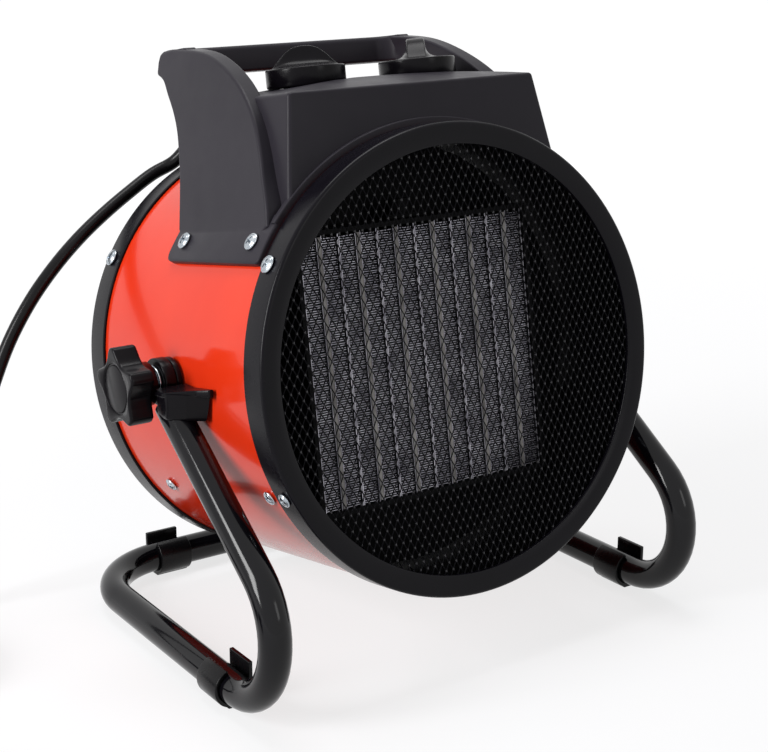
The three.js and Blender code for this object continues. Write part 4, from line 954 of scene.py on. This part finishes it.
def foot_clip():
    """A sleeve that hugs the tube on one side, a flat sole and an upright tab, along y."""
    inside = TUBE_R + 0.1
    outside = inside + FOOT_WALL
    outline = [(inside + 0.2, FOOT_TAB_Z), (inside + 0.2, 0), *arc((0, 0), inside, -8, -FOOT_WRAP, 40),
               *arc((0, 0), outside, 360 - FOOT_WRAP, FOOT_SOLE, 30), (-2.6, -TUBE_Z),
               (outside + 0.4, -TUBE_Z), (outside + 0.4, FOOT_TAB_Z)]
    obj = loose("foot", prism(outline, -FOOT_LENGTH / 2, FOOT_LENGTH / 2, "y"))
    soft = obj.modifiers.new("soft", "BEVEL")
    soft.width, soft.segments, soft.limit_method, soft.angle_limit = 0.45, 3, "ANGLE", math.radians(35)
    return evaluated(obj)


clip = foot_clip()
nose_y = leg_corners(1)[1].y
taper = math.atan2(LEG_NOSE_X - REAR_CORNER_X, REAR_BAR_Y - nose_y)
side_x = REAR_CORNER_X + (LEG_NOSE_X - REAR_CORNER_X) * (REAR_BAR_Y - FRONT_FOOT_Y) / (REAR_BAR_Y - nose_y)
for side, word in ((-1, "left"), (1, "right")):
    for end, at, turn in (("front", (side * side_x, FRONT_FOOT_Y, TUBE_Z), side * taper),
                          ("rear", (side * REAR_FOOT_X, REAR_BAR_Y, TUBE_Z), math.pi / 2)):
        data = clip.copy()
        data.transform(FLOOR @ Matrix.Translation(at) @ Matrix.Rotation(turn, 4, "Z"))
        piece(f"clip_foot_{end}_{word}", data, "rubber", "stand", f"foot_{end}_{word}")

# -------------------- cord boot

RIB_COUNT, RIB_PITCH = 7, 4.4
boot = [(0, 96), (7.9, 96), (7.9, 97), (6.5, 97), (6.5, 100.3), (8.5, 100.3), (8.5, 103.2), (8.1, 104)]
for k in range(RIB_COUNT):
    y, radius = 105.4 + k * RIB_PITCH, 7.3 - 0.36 * k
    boot += [(radius - 1.0, y), (radius, y + 0.5), (radius, y + 2.9), (radius - 1.0, y + 3.4)]
boot += [(4.9, 136.6), (4.7, BOOT_TIP_Y), (3.6, BOOT_TIP_Y + 0.2), (0, BOOT_TIP_Y + 0.2)]
piece("boot_relief", build("boot_relief", lathe(boot, 64, wrap=False),
                           DRUM @ Matrix.Translation((GLAND_AT[0], 0, GLAND_AT[1]))),
      "rubber", "heater", "cord_boot", angle=50)

# -------------------- CAD nodes that stay

slots = {p["node"]: p["material_slot"] for p in frame["record"]["subparts"]}
for node in ("chassis_rail_left", "chassis_rail_right", "element_frame", "motor_bracket", "fan_motor",
             "clamp_nut_left", "clamp_nut_right", "baffle_plate", "thermal_cutout", "thermostat",
             "power_switch", "terminal_block", "motor_shaft", "impeller", "thermostat_spindle",
             "switch_spindle"):
    for place in frame["nodes"][node].material_slots:
        place.material = LOOKS["dark_sheet" if node == "thermal_cutout" else slots[node]]

# -------------------- studio

FLOOR_HALF, FLOOR_MATTE = 6, (0.26, 0.26, 0.27, 1)
FLOOR_GLOW, GLOW_REACH = (0.75, 0.95), (0.25, 1.6)   # near and far from the heater, and how far in metres
WORLD_LIGHT, WORLD_SEEN = 0.24, 1.0

corners = [(x * FLOOR_HALF, y * FLOOR_HALF, 0) for x, y in ((-1, -1), (1, -1), (1, 1), (-1, 1))]
floor_data = bpy.data.meshes.new("floor")
floor_data.from_pydata(corners, [], [(0, 1, 2, 3)])
floor = bpy.data.objects.new("floor", floor_data)
scene.collection.objects.link(floor)


def seen_directly(tree):
    """1 for rays from the camera and for reflected and refracted ones, otherwise 0."""
    path = tree.nodes.new("ShaderNodeLightPath")
    last = path.outputs["Is Camera Ray"]
    for name in ("Is Glossy Ray", "Is Transmission Ray"):
        most = tree.nodes.new("ShaderNodeMath")
        most.operation = "MAXIMUM"
        tree.links.new(last, most.inputs[0])
        tree.links.new(path.outputs[name], most.inputs[1])
        last = most.outputs[0]
    return last


floor_look = bpy.data.materials.new("floor_white")
floor_look.use_nodes = True
tree = floor_look.node_tree
tree.nodes.clear()
matte = tree.nodes.new("ShaderNodeBsdfDiffuse")
matte.inputs["Color"].default_value = FLOOR_MATTE
where = tree.nodes.new("ShaderNodeTexCoord")
away = tree.nodes.new("ShaderNodeVectorMath")
away.operation = "LENGTH"
tree.links.new(where.outputs["Object"], away.inputs[0])
lift = spread(tree, away.outputs["Value"], *FLOOR_GLOW, *GLOW_REACH)
glow = tree.nodes.new("ShaderNodeEmission")
glow.inputs["Color"].default_value = (1, 1, 1, 1)
level = tree.nodes.new("ShaderNodeMath")
level.operation = "MULTIPLY"
tree.links.new(seen_directly(tree), level.inputs[0])
tree.links.new(lift, level.inputs[1])
tree.links.new(level.outputs[0], glow.inputs["Strength"])
both_shaders = tree.nodes.new("ShaderNodeAddShader")
tree.links.new(matte.outputs[0], both_shaders.inputs[0])
tree.links.new(glow.outputs[0], both_shaders.inputs[1])
out = tree.nodes.new("ShaderNodeOutputMaterial")
tree.links.new(both_shaders.outputs[0], out.inputs["Surface"])
floor_data.materials.append(floor_look)

world = bpy.data.worlds.new("studio")
scene.world = world
world.use_nodes = True
tree = world.node_tree
background = tree.nodes["Background"]
background.inputs["Color"].default_value = (1, 1, 1, 1)
mix = tree.nodes.new("ShaderNodeMapRange")
mix.inputs["To Min"].default_value = WORLD_LIGHT
mix.inputs["To Max"].default_value = WORLD_SEEN
tree.links.new(seen_directly(tree), mix.inputs["Value"])
tree.links.new(mix.outputs["Result"], background.inputs["Strength"])


def lamp(name, place, target, size, power):
    """A rectangular lamp at a place, turned to a target."""
    data = bpy.data.lights.new(name, "AREA")
    data.shape, data.size, data.size_y, data.energy = "RECTANGLE", size[0], size[1], power
    obj = bpy.data.objects.new(name, data)
    scene.collection.objects.link(obj)
    obj.location = place
    obj.rotation_mode = "QUATERNION"
    obj.rotation_quaternion = (Vector(target) - Vector(place)).to_track_quat("-Z", "Y")


lamp("left_box", (-1.5, 0.05, 0.75), (0, 0, 0.13), (0.45, 0.9), 22)
lamp("top_box", (0.05, 0.25, 1.5), (0, 0, 0.1), (0.9, 0.5), 9)
lamp("front_box", (0.4, -1.8, 0.9), (0, 0, 0.12), (0.5, 0.7), 2.6)

scene.view_settings.view_transform = "Standard"
